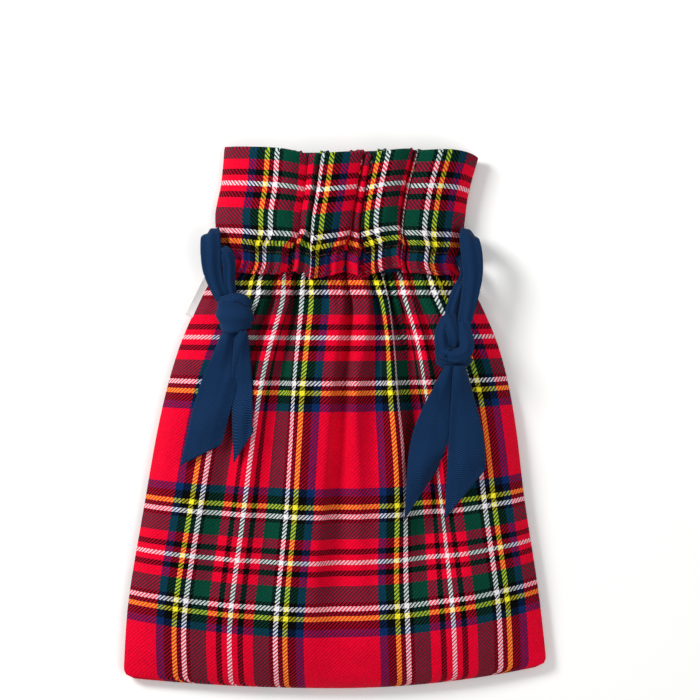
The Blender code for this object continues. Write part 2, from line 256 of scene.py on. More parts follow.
@dataclass(frozen=True)
class TartanTwill:
    """Worsted tartan, a 2/2 twill. Its ribs slant, and each check is two colours of thread mixed."""

    red: str = "#E2002B"
    navy: str = "#07285A"
    black: str = "#030305"
    yellow: str = "#F6E82C"
    white: str = "#ECEAEC"
    green: str = "#03402F"
    thread: float = 0.000495  # from one thread to the next, which sets the stripes' widths
    drawn_thread: float = 0.00062  # the weave itself is drawn a quarter coarser, so that its ribs show
    nap: float = 1 / 60  # a patch of nap that lies one way
    across_middle: float = 0.0050  # where the widest red stripe lies across the panel
    along_middle: float = 0.1523
    roughness: float = 0.86
    shade_gamma: float = 2.2  # the gamma at which two colours are mixed; the mix's ratio to the plain mix sets the painted shade between threads of two colours
    rib_depth: float = 0.00022

    def half_sett(self) -> tuple[tuple[str, int], ...]:
        """The colours and thread counts, from the middle of the red to the middle of the white.

        Returns:
            A colour and a count for each stripe.
        """
        return (
            (self.red, 47),
            (self.navy, 10),
            (self.black, 10),
            (self.yellow, 6),
            (self.black, 6),
            (self.white, 6),
            (self.black, 5),
            (self.green, 20),
            (self.red, 12),
            (self.black, 7),
            (self.red, 7),
            (self.white, 3),
        )

    def stripes(self, tree: bpy.types.NodeTree, distance: Socket, middle: float) -> Socket:
        """The colour of the thread at a distance across it.

        Args:
            tree: The material's node tree.
            distance: The socket that gives the distance, in metres.
            middle: The distance at which the red stripe's middle lies.

        Returns:
            The colour socket.
        """
        counts = self.half_sett()
        total = sum(count for _, count in counts)
        from_middle = add(tree, "Math", {0: distance, 1: middle}, operation="SUBTRACT")
        folded = add(
            tree, "Math", {0: from_middle.outputs[0], 1: total * self.thread}, operation="PINGPONG"
        )
        share = add(
            tree, "Math", {0: folded.outputs[0], 1: total * self.thread}, operation="DIVIDE"
        )
        ramp = add(tree, "ValToRGB", {0: share.outputs[0]})
        ramp.color_ramp.interpolation = "CONSTANT"
        steps = ramp.color_ramp.elements
        reached = 0
        for index, (colour, count) in enumerate(counts):
            place = reached / total
            step = steps[index] if index < 2 else steps.new(place)
            step.position = place
            step.color = linear(colour)
            reached += count
        return ramp.outputs["Color"]

    def weave(self, tree: bpy.types.NodeTree, warp: Socket, weft: Socket, up: Socket) -> Socket:
        """The colour of the thread that lies on top, with painted shade where it lies beside a thread of
        another colour.

        Args:
            tree: The material's node tree.
            warp: The colour of the warp thread here.
            weft: The colour of the weft thread here.
            up: 1 where the warp lies on top.

        Returns:
            The colour socket.
        """
        top = add(tree, "Mix", {0: up, 6: weft, 7: warp}, data_type="RGBA", blend_type="MIX")
        # Where the two threads differ in colour, the top one is darkened by the ratio of their gamma mix
        # to their plain mix: painted shade, for the shade that raised threads cast on each other
        halves = []
        for thread_colour in (warp, weft):
            halves.append(add(tree, "Gamma", {"Color": thread_colour, "Gamma": 1 / self.shade_gamma}).outputs[0])
        both = add(tree, "VectorMath", {0: halves[0], 1: halves[1]}, operation="ADD")
        half = add(tree, "VectorMath", {0: both.outputs[0], 3: 0.5}, operation="SCALE")
        seen = add(tree, "Gamma", {"Color": half.outputs[0], "Gamma": self.shade_gamma})
        plain = add(tree, "VectorMath", {0: warp, 1: weft}, operation="ADD")
        level = add(
            tree,
            "VectorMath",
            {0: plain.outputs[0], 1: (0.5, 0.5, 0.5), 2: (0.0005, 0.0005, 0.0005)},
            operation="MULTIPLY_ADD",
        )
        painted_shade_ratio = add(tree, "VectorMath", {0: seen.outputs[0], 1: level.outputs[0]}, operation="DIVIDE")
        # but the white threads are spared most of this painted shade, and white is the only colour with
        # much blue in it
        pale = add(tree, "SeparateColor", {0: top.outputs[2]})
        spared = add(tree, "MapRange", {0: pale.outputs[2], 1: 0.25, 2: 0.80, 4: 0.60})
        white = (1.0, 1.0, 1.0, 1.0)
        share = add(tree, "Mix", {0: spared.outputs[0], 6: painted_shade_ratio.outputs[0], 7: white}, data_type="RGBA")
        # the top thread's colour, with the painted shade laid on it
        shaded_top = add(tree, "VectorMath", {0: top.outputs[2], 1: share.outputs[2]}, operation="MULTIPLY")
        return shaded_top.outputs[0]

    def make(self) -> bpy.types.Material:
        """Build the material, on the piece's UV map in metres.

        Returns:
            The material.
        """
        material, tree, shader = start_material("worsted_tartan_twill")
        chart = add(tree, "UVMap", {}, uv_map="UVMap")
        split = add(tree, "SeparateXYZ", {0: chart.outputs[0]})
        across, along = split.outputs[0], split.outputs[1]
        warp = self.stripes(tree, across, self.across_middle)
        weft = self.stripes(tree, along, self.along_middle)

        def index(distance: Socket) -> Socket:
            """The number of the thread at a distance."""
            count = add(tree, "Math", {0: distance, 1: self.drawn_thread}, operation="DIVIDE")
            return add(tree, "Math", {0: count.outputs[0]}, operation="FLOOR").outputs[0]

        end, pick = index(across), index(along)
        step = add(tree, "Math", {0: end, 1: pick}, operation="SUBTRACT")
        turn = add(tree, "Math", {0: step.outputs[0], 1: 4.0}, operation="FLOORED_MODULO")
        up = add(tree, "Math", {0: turn.outputs[0], 1: 1.5}, operation="LESS_THAN")
        woven = self.weave(tree, warp, weft, up.outputs[0])

        # Each thread takes the dye a little differently
        threads = add(tree, "CombineXYZ", {0: end, 1: pick, 2: up.outputs[0]})
        lot = add(tree, "TexWhiteNoise", {0: threads.outputs[0]}, noise_dimensions="3D")
        shade = add(tree, "MapRange", {0: lot.outputs[0], 3: 0.80, 4: 1.10})
        # The nap catches the light in soft patches
        nap = add(
            tree,
            "TexNoise",
            {"Vector": chart.outputs[0], "Scale": 1 / self.nap, "Detail": 4.0, "Roughness": 0.6},
        )
        patch = add(tree, "MapRange", {0: nap.outputs[0], 1: 0.3, 2: 0.7, 3: 0.93, 4: 1.05})
        tone = add(tree, "Math", {0: shade.outputs[0], 1: patch.outputs[0]}, operation="MULTIPLY")
        colour = add(tree, "VectorMath", {0: woven, 3: tone.outputs[0]}, operation="SCALE")

        # Twill ribs, four threads apart, and the single threads that make them up
        slant = add(tree, "Math", {0: across, 1: along}, operation="SUBTRACT")
        wave = 2 * math.pi / (4 * self.drawn_thread)
        phase = add(tree, "Math", {0: slant.outputs[0], 1: wave}, operation="MULTIPLY")
        rib = add(tree, "Math", {0: phase.outputs[0]}, operation="SINE")
        single = {0: lot.outputs[0], 1: 0.5, 2: rib.outputs[0]}
        fibre = add(tree, "Math", single, operation="MULTIPLY_ADD")
        set_surface(tree, colour.outputs[0], fibre.outputs[0], 0.55, self.rib_depth)
        smoothest, roughest = self.roughness - 0.06, self.roughness + 0.06
        rough = add(tree, "MapRange", {0: nap.outputs[0], 3: smoothest, 4: roughest})
        tree.links.new(rough.outputs[0], shader.inputs["Roughness"])
        shader.inputs["Specular IOR Level"].default_value = 0.06
        shader.inputs["Sheen Weight"].default_value = 0.02
        shader.inputs["Sheen Roughness"].default_value = 0.45
        return material


@dataclass(frozen=True)
class HerringboneTape:
    """Cotton herringbone tape, woven with its ribs turning back every few millimetres."""

    colour: str = "#103A68"
    # painted shade: the colour mixed in where the ribs' grooves and the lint lie low
    hollow_shade: str = "#010712"
    rib: float = 0.0013  # drawn about twice as coarse as the real rib, so that it shows
    rib_depth: float = 0.0002
    turn: float = 0.0045
    lint: float = 1 / 900
    roughness: float = 0.82

    def make(self) -> bpy.types.Material:
        """Build the material, on the tape's UV map in metres.

        Returns:
            The material.
        """
        material, tree, shader = start_material("cotton_herringbone_tape")
        chart = add(tree, "UVMap", {}, uv_map="UVMap")
        split = add(tree, "SeparateXYZ", {0: chart.outputs[0]})
        zigzag = add(tree, "Math", {0: split.outputs[0], 1: self.turn}, operation="PINGPONG")
        run = add(tree, "Math", {0: split.outputs[1], 1: zigzag.outputs[0]}, operation="ADD")
        phase = add(
            tree, "Math", {0: run.outputs[0], 1: 2 * math.pi / self.rib}, operation="MULTIPLY"
        )
        rib = add(tree, "Math", {0: phase.outputs[0]}, operation="SINE")
        cotton = add(
            tree,
            "TexNoise",
            {"Vector": chart.outputs[0], "Scale": 1 / self.lint, "Detail": 3.0, "Roughness": 0.6},
        )
        height = add(
            tree, "Math", {0: cotton.outputs[0], 1: 0.9, 2: rib.outputs[0]}, operation="MULTIPLY_ADD"
        )
        tone = add(tree, "MapRange", {0: height.outputs[0], 1: -0.8, 2: 1.6, 3: 0.0, 4: 1.0})
        # Painted shade: where the ribs' grooves lie low the colour is mixed toward the dark one; the lint
        # also varies the tone at random
        mix = add(
            tree,
            "Mix",
            {0: tone.outputs[0], 6: linear(self.hollow_shade), 7: linear(self.colour)},
            data_type="RGBA",
        )
        set_surface(tree, mix.outputs[2], height.outputs[0], 0.5, self.rib_depth)
        shader.inputs["Roughness"].default_value = self.roughness
        shader.inputs["Specular IOR Level"].default_value = 0.10
        shader.inputs["Sheen Weight"].default_value = 0.03
        shader.inputs["Sheen Roughness"].default_value = 0.5
        return material


@dataclass(frozen=True)
class PlainWeave:
    """A fine plain weave, matt and even, for the thread, the label's satin and the bound seams."""

    name: str
    colour: str
    # painted shade: the colour mixed in where the hollows between threads and the lint lie low
    hollow_shade: str
    thread: float  # drawn about twice as coarse as the real one, so that it shows
    roughness: float
    thread_depth: float = 0.0001
    lint: float = 1 / 700

    def make(self) -> bpy.types.Material:
        """Build the material, on Object coordinates.

        Returns:
            The material.
        """
        material, tree, shader = start_material(self.name)
        place = add(tree, "TexCoord", {})
        split = add(tree, "SeparateXYZ", {0: place.outputs["Object"]})
        waves = []
        for output in (0, 1):
            phase = add(
                tree,
                "Math",
                {0: split.outputs[output], 1: 2 * math.pi / self.thread},
                operation="MULTIPLY",
            )
            waves.append(add(tree, "Math", {0: phase.outputs[0]}, operation="SINE").outputs[0])
        weave = add(tree, "Math", {0: waves[0], 1: waves[1]}, operation="MULTIPLY")
        lint = add(
            tree, "TexNoise", {"Vector": place.outputs["Object"], "Scale": 1 / self.lint, "Detail": 3.0}
        )
        height = add(tree, "Math", {0: weave.outputs[0], 1: lint.outputs[0]}, operation="ADD")
        tone = add(tree, "MapRange", {0: height.outputs[0], 1: -0.8, 2: 1.6})
        # Painted shade: the hollows between the crossing threads are mixed toward the dark colour; the
        # lint also varies the tone at random
        mix = add(
            tree,
            "Mix",
            {0: tone.outputs[0], 6: linear(self.hollow_shade), 7: linear(self.colour)},
            data_type="RGBA",
        )
        set_surface(tree, mix.outputs[2], height.outputs[0], 0.4, self.thread_depth)
        shader.inputs["Roughness"].default_value = self.roughness
        shader.inputs["Sheen Weight"].default_value = 0.1
        return material


@dataclass(frozen=True)
class StudioPaper:
    """White studio paper, matt, with only its tooth to see."""

    colour: str = "#FBFBFA"
    tooth: float = 1 / 400
    tooth_depth: float = 0.0001

    def make(self) -> bpy.types.Material:
        """Build the material, on Object coordinates.

        Returns:
            The material.
        """
        material, tree, shader = start_material("studio_paper")
        place = add(tree, "TexCoord", {})
        tooth = add(tree, "TexNoise", {"Vector": place.outputs["Object"], "Scale": 1 / self.tooth})
        height = tooth.outputs[0]
        relief = add(tree, "Bump", {"Strength": 0.05, "Distance": self.tooth_depth, "Height": height})
        tree.links.new(relief.outputs[0], shader.inputs["Normal"])
        shader.inputs["Base Color"].default_value = linear(self.colour)
        shader.inputs["Roughness"].default_value = 0.9
        return material


# ---------------------------------------------------------------------------------------------------
# The shape that the sack lies in


@dataclass(frozen=True)
class SackForm:
    """The stuffed-out shape of the sack, without its folds."""

    length: float = 0.332
    half_cloth: float = 0.130  # half the width that each panel was cut to
    corner_radius: float = 0.007
    corner_rise: tuple[float, float] = (0.006, 0.013)
    puff_power: float = 2.6
    puff_round: float = 0.75
    bottom_round: float = 0.060
    back_flat: float = 0.80  # the share of the back's width that lies flat on the table
    bottom_rise: float = 0.016  # how far from the bottom seam the back starts to rise to it
    cuff_edge: float = 0.0885
    lower_row: float = 0.0905
    upper_row: float = 0.1025
    seam: float = 0.0051  # height of the side and bottom seams
    cloth: float = 0.0009
    on_table: float = 0.0010  # the lowest that a panel is laid: its own thickness is below it
    body_height: float = 0.0250
    neck_height: float = 0.0172
    behind_cuff: float = 0.0055  # how far the front body drops where the cuff lies over it
    cuff_height: float = 0.0218
    mouth_height: float = 0.0262
    back_lining: float = 0.0058
    back_cuff_flat: float = 0.0004
    lower_dent: tuple[float, float] = (0.0008, 0.0020)  # how deep and wide each row draws the cuff down
    upper_dent: tuple[float, float] = (0.0024, 0.0026)
    back_dent: tuple[float, float] = (0.0012, 0.0040)
    outline: Stops = (
        (-0.166, -0.1300, 0.1300),
        (-0.120, -0.1270, 0.1250),
        (-0.060, -0.1175, 0.1165),
        (0.000, -0.1070, 0.1095),
        (0.040, -0.0965, 0.1010),
        (0.068, -0.0850, 0.0900),
        (0.084, -0.0770, 0.0810),
        (0.095, -0.0700, 0.0745),
        (0.106, -0.0720, 0.0775),
        (0.122, -0.0735, 0.0795),
        (0.140, -0.0700, 0.0820),
        (0.166, -0.0675, 0.0890),
    )

    @property
    def half_length(self) -> float:
        """Half the sack's length, which is the distance from its middle to either end."""
        return self.length / 2

    def edges(self, y: np.ndarray) -> np.ndarray:
        """Where the sack's edges lie, with its bottom corners rounded.

        Args:
            y: Distances along the sack.

        Returns:
            X of the left edge and of the right edge, at each distance.
        """
        left, right = through(self.outline, y)
        up = np.clip(np.atleast_1d(y) + self.half_length, 0.0, self.corner_radius)
        inset = self.corner_radius - np.sqrt(
            np.maximum(self.corner_radius**2 - (self.corner_radius - up) ** 2, 0.0)
        )
        return np.array([left + inset, right - inset])

    def plan(self, side: np.ndarray, y: np.ndarray) -> tuple[np.ndarray, np.ndarray]:
        """The plan of a weft thread, which rises from the middle toward the bottom corners.

        Args:
            side: Places across the sack, from -1 at its left edge to 1 at its right.
            y: How far along the sack's middle the thread lies.

        Returns:
            X and Y of each place.
        """
        left, right = self.edges(y)
        rise = np.where(side < 0, *self.corner_rise)
        fade = 1.0 - smooth((y + self.half_length) / (self.cuff_edge + self.half_length))
        return left + (right - left) * (side + 1) / 2, y + rise * side**2 * fade

    def puff(self, share: np.ndarray) -> np.ndarray:
        """Height of the puffed section, from 1 in the middle to 0 at either edge."""
        share = np.minimum(np.abs(share), 1.0)
        return (1.0 - share**self.puff_power) ** self.puff_round

    def into_neck(self, y: np.ndarray, start: float) -> np.ndarray:
        """Ease from 0 at start to 1 just below the cuff."""
        return smooth((y - start) / (self.cuff_edge - 0.002 - start))

    def front(self, side: np.ndarray, y: np.ndarray) -> np.ndarray:
        """Height of the front's outer surface, which drops back where the cuff lies over it.

        Args:
            side: Places across the sack, from -1 to 1.
            y: Places along it.

        Returns:
            The height at each place.
        """
        end = self.puff(1.0 - np.clip((y + self.half_length) / self.bottom_round, 0.0, 1.0))
        middle = self.body_height + (self.neck_height - self.body_height) * self.into_neck(y, 0.010)
        middle = middle - self.behind_cuff * smooth((y - self.cuff_edge + 0.002) / 0.006)
        edge = self.seam + self.cloth
        return edge + (middle - edge) * self.puff(side) * end

    def front_cuff(self, side: np.ndarray, y: np.ndarray) -> np.ndarray:
        """Height of the front cuff's outer surface, which is drawn down at the rows of stitching.

        Args:
            side: Places across the sack, from -1 to 1.
            y: Places along it.

        Returns:
            The height at each place.
        """
        up = smooth((y - self.upper_row) / (self.half_length - self.upper_row))
        middle = self.cuff_height + (self.mouth_height - self.cuff_height) * up
        for row, (depth, reach) in (
            (self.lower_row, self.lower_dent), (self.upper_row, self.upper_dent)
        ):
            middle = middle - depth * np.exp(-(((y - row) / reach) ** 2))
        edge = self.seam + self.cloth
        return edge + (middle - edge) * self.puff(side)

    def back(self, side: np.ndarray, y: np.ndarray) -> np.ndarray:
        """Height of the back's outer surface below the cuff: flat on the table, rising to the seam.

        Args:
            side: Places across the sack, from -1 to 1.
            y: Places along it.

        Returns:
            The height at each place.
        """
        outside = np.maximum(np.abs(side) - self.back_flat, 0.0) / (1.0 - self.back_flat)
        near_bottom = np.maximum(self.bottom_rise - (y + self.half_length), 0.0) / self.bottom_rise
        edge = self.seam - self.cloth
        lift = edge * smooth(np.maximum(outside, near_bottom))
        return lift + (self.back_lining - self.cloth - lift) * self.into_neck(y, 0.045)

    def back_cuff(self, side: np.ndarray, y: np.ndarray) -> np.ndarray:
        """Height of the back cuff's outer surface.

        Args:
            side: Places across the sack, from -1 to 1.
            y: Places along it.

        Returns:
            The height at each place.
        """
        flare = smooth((y - self.cuff_edge) / 0.006)
        edge = (self.seam - self.cloth) * (0.6 + 0.4 * flare)
        depth, reach = self.back_dent
        dent = depth * np.exp(-(((y - self.upper_row) / reach) ** 2))
        flat = self.back_cuff_flat
        outside = smooth(np.maximum(np.abs(side) - 0.72, 0.0) / 0.28)
        return flat + dent + (edge - flat) * outside


# ---------------------------------------------------------------------------------------------------
# Gathered cloth


@dataclass(frozen=True)
class Fold:
    """A fold that the drawn-up neck makes in a panel.

    Each stop of its run is a distance along the sack, then the fold's middle and width across the flat
    cloth, in metres, and its steepest slope in radians.
    """

    run: Stops


@dataclass(frozen=True)
class Puckers:
    """Small even gathers, whose slope at stops along the sack is given in radians."""

    pitch: float
    run: Stops


@dataclass
class GatheredPanel:
    """A stretch of cloth laid over the sack's form, with its threads kept at their own length."""

    form: SackForm
    name: str
    surface: Surface
    folds: tuple[Fold, ...]
    puckers: Puckers
    inward: float = -1.0  # the way that valleys go: -1 down, on the front, and 1 up, on the back
    columns: int = 240
    lifted: float = 0.6  # the share of the folds' mean depth by which their ridges stand proud
    steepest: float = 2.15  # radians, past upright, so that a deep fold tucks under itself
    fine: int = 4  # steps of the fold to each column

    def across(self) -> np.ndarray:
        """Each column's distance across the flat cloth."""
        return np.linspace(-self.form.half_cloth, self.form.half_cloth, self.columns + 1)

    def lay(self, y: float, reach: float) -> tuple[np.ndarray, np.ndarray]:
        """Fold one row of the cloth, until its whole length fits the room that it has.

        Args:
            y: The row's place along the sack.
            reach: How long the form is from side seam to side seam.

        Returns:
            How far the row has advanced at each column, from 0 to 1, and its height there.
        """
        u = np.linspace(-self.form.half_cloth, self.form.half_cloth, self.columns * self.fine + 1)
        slope = np.zeros_like(u)
        for fold in self.folds:
            centre, width, steep = through(fold.run, y)[:, 0]
            share = (u - centre) / width + 0.5
            slope += np.where((share > 0) & (share < 1), steep * np.sin(2 * math.pi * share), 0.0)
        gather = through(self.puckers.run, y)[0, 0]
        drift = 1.3 * np.sin(u / 0.017) + 0.9 * np.sin(u / 0.0071 + 1.0)
        near_edge = smooth((self.form.half_cloth - np.abs(u)) / 0.012)
        slope += gather * near_edge * np.sin(2 * math.pi * u / self.puckers.pitch + drift)
        middle, step = (slope[1:] + slope[:-1]) / 2, np.diff(u)
        scales = np.linspace(0.4, 1.6, 25)
        limit = self.steepest
        spans = [(np.cos(np.clip(scale * middle, -limit, limit)) * step).sum() for scale in scales]
        middle = np.clip(middle * np.interp(-reach, -np.array(spans), scales), -limit, limit)
        advance = np.concatenate([[0.0], np.cumsum(np.cos(middle) * step)])
        height = np.concatenate([[0.0], np.cumsum(-np.sin(middle) * step)])
        height -= height[-1] * (u - u[0]) / (u[-1] - u[0])
        height -= self.lifted * height.mean() * near_edge
        return advance[:: self.fine] / advance[-1], height[:: self.fine]

    def place_row(
        self,
        y: Course,
        fold_y: float,
        drop: np.ndarray | float = 0.0,
        depth: float = 1.0,
    ) -> np.ndarray:
        """Place one row of the cloth on the form.

        Args:
            y: Gives the distance along the sack at each side, from -1 to 1.
            fold_y: Where along the sack the folds are read.
            drop: How far the row lies inside the outer surface.
            depth: The share of the folds' depth that this layer takes.

        Returns:
            The row's places, by column and axis.
        """
        sides = np.linspace(-1.0, 1.0, 201)
        sides = np.sign(sides) * np.abs(sides) ** 0.8
        along = y(sides)
        x, moved = self.form.plan(sides, along)
        z = self.surface(sides, along) + self.inward * drop * (1 - sides**4)
        reach = np.concatenate([[0.0], np.cumsum(np.hypot(np.diff(x), np.diff(z)))])
        advance, height = self.lay(fold_y, float(reach[-1]))
        at = advance * reach[-1]
        base = np.array([np.interp(at, reach, axis) for axis in (x, moved, z)]).T
        run, rise = np.gradient(x), np.gradient(z)
        tilt = np.interp(at, reach, np.arctan2(rise, run))
        out = -self.inward * height * depth
        base[:, 0] -= np.sin(tilt) * out
        base[:, 2] += np.cos(tilt) * out
        base[:, 2] = np.maximum(base[:, 2], self.form.on_table)
        return base

    def finish(
        self,
        points: list[np.ndarray],
        along: np.ndarray,
        outward: float,
        cloth: bpy.types.Material,
        rests_on: tuple[str, ...] = (),
    ) -> bpy.types.Object:
        """Make the panel from its rows, with its thickness, finish and measures.

        Args:
            points: The rows' places.
            along: Each row's distance along the flat cloth.
            outward: -1 where the outer surface faces up, and 1 where it faces down.
            cloth: The cloth's material.
            rests_on: What it lies on. Not used.

        Returns:
            The panel.
        """
        piece = grid_piece(self.name, np.array(points), self.across(), along)
        thicken(piece, self.form.cloth, outward)
        piece.data.materials.append(cloth)
        return piece


FRONT_BODY_FOLDS = (
    Fold((
        (-0.160, -0.078, 0.048, 0.0), (-0.111, -0.078, 0.044, 0.22), (-0.050, -0.078, 0.036, 0.45),
        (0.014, -0.078, 0.028, 0.85), (0.072, -0.078, 0.0215, 1.62), (0.103, -0.078, 0.0215, 1.62),
    )),
    Fold((
        (-0.160, -0.049, 0.054, 0.0), (-0.111, -0.049, 0.050, 0.25), (-0.050, -0.049, 0.044, 0.48),
        (0.014, -0.049, 0.036, 1.00), (0.072, -0.049, 0.0275, 1.68), (0.103, -0.049, 0.0275, 1.68),
    )),
    Fold((
        (-0.160, 0.002, 0.040, 0.0), (-0.111, 0.002, 0.038, 0.55), (-0.050, 0.001, 0.034, 0.95),
        (0.014, 0.000, 0.028, 1.30), (0.072, 0.000, 0.0240, 1.62), (0.103, 0.000, 0.0240, 1.62),
    )),
    Fold((
        (-0.160, 0.026, 0.064, 0.0), (-0.111, 0.026, 0.060, 0.40), (-0.050, 0.026, 0.050, 0.56),
        (0.014, 0.028, 0.036, 0.92), (0.072, 0.030, 0.0240, 1.62), (0.103, 0.030, 0.0240, 1.62),
    )),
    Fold((
        (-0.160, 0.0586, 0.066, 0.0), (-0.111, 0.0586, 0.062, 0.42), (-0.050, 0.0586, 0.054, 0.85),
        (0.014, 0.0586, 0.044, 1.22), (0.072, 0.0586, 0.035, 1.62), (0.103, 0.0586, 0.035, 1.62),
    )),
    Fold((
        (-0.160, 0.0880, 0.024, 0.0), (0.000, 0.0880, 0.024, 0.0), (0.014, 0.0870, 0.022, 0.25),
        (0.072, 0.0854, 0.0150, 1.60), (0.103, 0.0854, 0.0150, 1.60),
    )),
)

FRONT_CUFF_FOLDS = tuple(
    Fold(((0.085, centre, width, sewn), (0.103, centre, width, sewn), (0.133, centre, width, steep),
          (0.166, centre, width, top)))
    for centre, width, sewn, steep, top in (
        (-0.0634, 0.0215, 1.45, 1.70, 1.60),
        (-0.0600, 0.0560, 0.35, 0.55, 0.45),
        (-0.0427, 0.0150, 1.50, 1.70, 1.50),
        (0.0005, 0.0245, 1.55, 1.80, 1.70),
        (0.0250, 0.0245, 1.55, 1.80, 1.70),
        (0.0130, 0.0780, 0.35, 0.55, 0.45),
        (0.0677, 0.0125, 1.45, 1.60, 1.45),
        (0.0808, 0.0190, 1.50, 1.70, 1.60),
        (0.0760, 0.0560, 0.35, 0.50, 0.40),
    )
)

BACK_BODY_FOLDS = tuple(
    Fold(((-0.150, centre, 2.0 * width, 0.0), (-0.040, centre, 1.8 * width, 0.30),
          (0.030, centre, 1.3 * width, 0.80), (0.080, centre, width, 1.60),
          (0.103, centre, width, 1.60)))
    for centre, width in (
        (-0.088, 0.021), (-0.055, 0.024), (-0.018, 0.022), (0.020, 0.024), (0.058, 0.022), (0.092, 0.020)
    )
)

BACK_CUFF_FOLDS = tuple(
    Fold(((0.085, centre, width, 1.6), (0.103, centre, width, 1.6), (0.133, centre, width, 1.7),
          (0.166, centre, width, 1.65)))
    for centre, width in (
        (-0.094, 0.023), (-0.060, 0.026), (-0.026, 0.024), (0.010, 0.026), (0.044, 0.024), (0.080, 0.026)
    )
)


@dataclass
class ClothBody:
    """The sack below its cuff: the front and back panels, each from its bottom seam to the casing."""

    form: SackForm
    finish: bpy.types.Material
    top: float = 0.1030
    sewn_at: float = 0.2616  # the cloth's own distance from the bottom seam to the cuff's edge
    rows: int = 112

    def reach(self, surface: Surface, v: float) -> Course:
        """Where a weft thread lies along the sack: the middle is foreshortened as the front rises.

        Args:
            surface: The panel's height.
            v: The thread's own distance from the bottom seam.

        Returns:
            A function from side to distance along the sack.
        """
        span = np.linspace(-self.form.half_length, self.form.cuff_edge, 400)
        height = surface(np.zeros_like(span), span)
        run = np.concatenate([[0.0], np.cumsum(np.hypot(np.diff(span), np.diff(height)))])
        scale = self.sewn_at / run[-1]
        middle = float(np.interp(v, run * scale, span))
        beyond = max(v - self.sewn_at, 0.0)
        sewn_length = self.form.cuff_edge + self.form.half_length
        straight = min(v / self.sewn_at * sewn_length - self.form.half_length, self.form.cuff_edge)

        def at(side: np.ndarray) -> np.ndarray:
            """Where the thread lies along the sack, at places across it."""
            share = self.form.puff(side) ** 2
            return straight + (middle - straight) * share + beyond

        return at

    def build(self, panel: GatheredPanel, outward: float) -> bpy.types.Object:
        """Lay one panel, and give it its thickness and finish.

        Args:
            panel: The panel.
            outward: -1 where its outer surface faces up, and 1 where it faces down.

        Returns:
            The panel's piece.
        """
        along = np.linspace(0.0, self.sewn_at + self.top - self.form.cuff_edge, self.rows + 1)
        points = []
        for v in along:
            at = self.reach(panel.surface, v)
            points.append(panel.place_row(at, float(at(np.zeros(1))[0])))
        piece = panel.finish(points, along, outward, self.finish, rests_on=("table",))
        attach(piece, "sack")
        return piece


@dataclass
class ClothCuff:
    """One cuff: the casing between its two rows of stitching, and the doubled heading above them."""

    form: SackForm
    finish: bpy.types.Material
    top_fold: float = 0.3372  # the cloth's own distance from the bottom seam to the turned top edge
    hem: float = 0.0016  # half the space between the heading's two layers at the top edge
    short: float = 0.0035  # how far short of the sack's end the top edge lies before it is shaped
    creep: float = 0.75  # the share of the slip that shows
    layer: float = 1.3  # from one of the heading's layers to the next, in cloth thicknesses
    tuck: float = 0.015  # the share by which the inner layer is narrower
    shallow: float = 0.12  # the share by which the inner layer's folds are shallower
    slip: Stops = ()  # how far the cloth has crept up the sack, across the flat cloth
    top_edge: Stops = ()  # the top edge's distance along the sack, across the flat cloth
    casing_rows: int = 12
    outer_rows: int = 30
    lining_rows: int = 22
    fold_rows: int = 6

    def crept(self, across: np.ndarray) -> np.ndarray:
        """How far each column has crept up the sack."""
        return self.creep * through(self.slip, across)[0]

    def casing(self, panel: GatheredPanel, outward: float) -> bpy.types.Object:
        """Lay the outer cloth of the casing, from the cuff's edge to the upper row of stitching.

        Args:
            panel: The casing's cloth.
            outward: -1 where its outer surface faces up, and 1 where it faces down.

        Returns:
            The casing.
        """
        heights = np.linspace(self.form.cuff_edge, self.form.upper_row, self.casing_rows + 1)
        along = self.top_fold + self.form.half_length - self.short - heights
        points = []
        for y in heights:
            row = panel.place_row(lambda side: np.full_like(side, y), y)
            row[:, 1] += self.crept(panel.across())
            points.append(row)
        piece = panel.finish(points, along, outward, self.finish)
        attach(piece, "sack")
        return piece

    def heading(self, panel: GatheredPanel, outward: float) -> bpy.types.Object:
        """Lay the doubled heading, from the upper row, over its turned top edge and down again.

        Args:
            panel: The heading's cloth.
            outward: -1 where its outer surface faces up, and 1 where it faces down.

        Returns:
            The heading.
        """
        across = panel.across()
        creep = self.crept(across)
        edge = through(self.top_edge, across)[0]
        start = self.form.upper_row
        points, along = [], []
        full = self.form.half_length - self.short - start

        def row(share: float, inside: float, reached: float) -> None:
            """Lay one row.

            Args:
                share: How far up the heading it lies, from 0 to 1.
                inside: 0 on the outer layer and 1 on the inner one.
                reached: Its distance along the flat cloth.
            """
            y = start + full * share
            gap = inside * (2 * self.hem + 0.0012 * (1 - share))
            depth = 1.0 - self.shallow * inside
            laid = panel.place_row(lambda side: np.full_like(side, y), y, drop=gap, depth=depth)
            laid[:, 2] += panel.inward * inside * self.layer * self.form.cloth
            laid[:, 0] *= 1.0 - self.tuck * inside
            laid[:, 1] += creep * (1 - share) + share * (edge - (start + full))
            points.append(laid)
            along.append(reached)

        turn = self.hem / full
        for step in range(self.outer_rows + 1):
            share = (1 - turn) * step / self.outer_rows
            row(share, 0.0, self.top_fold + full * (1 - share))
        for step in range(1, self.fold_rows):
            angle = math.pi * step / self.fold_rows
            share = 1 - turn + turn * math.sin(angle)
            row(share, 0.5 - 0.5 * math.cos(angle), self.top_fold + self.hem * math.cos(angle))
        for step in range(self.lining_rows + 1):
            share = (1 - turn) * (1 - step / self.lining_rows)
            row(share, 1.0, self.top_fold - full * (1 - share))
        return panel.finish(points, np.array(along), outward, self.finish)


# ---------------------------------------------------------------------------------------------------
# Tapes


@dataclass(frozen=True)
class TapeStop:
    """A place that a tape passes: its middle, which way its width lies, and how wide it is bunched."""

    place: tuple[float, float, float]
    width_way: tuple[float, float, float]
    width: float


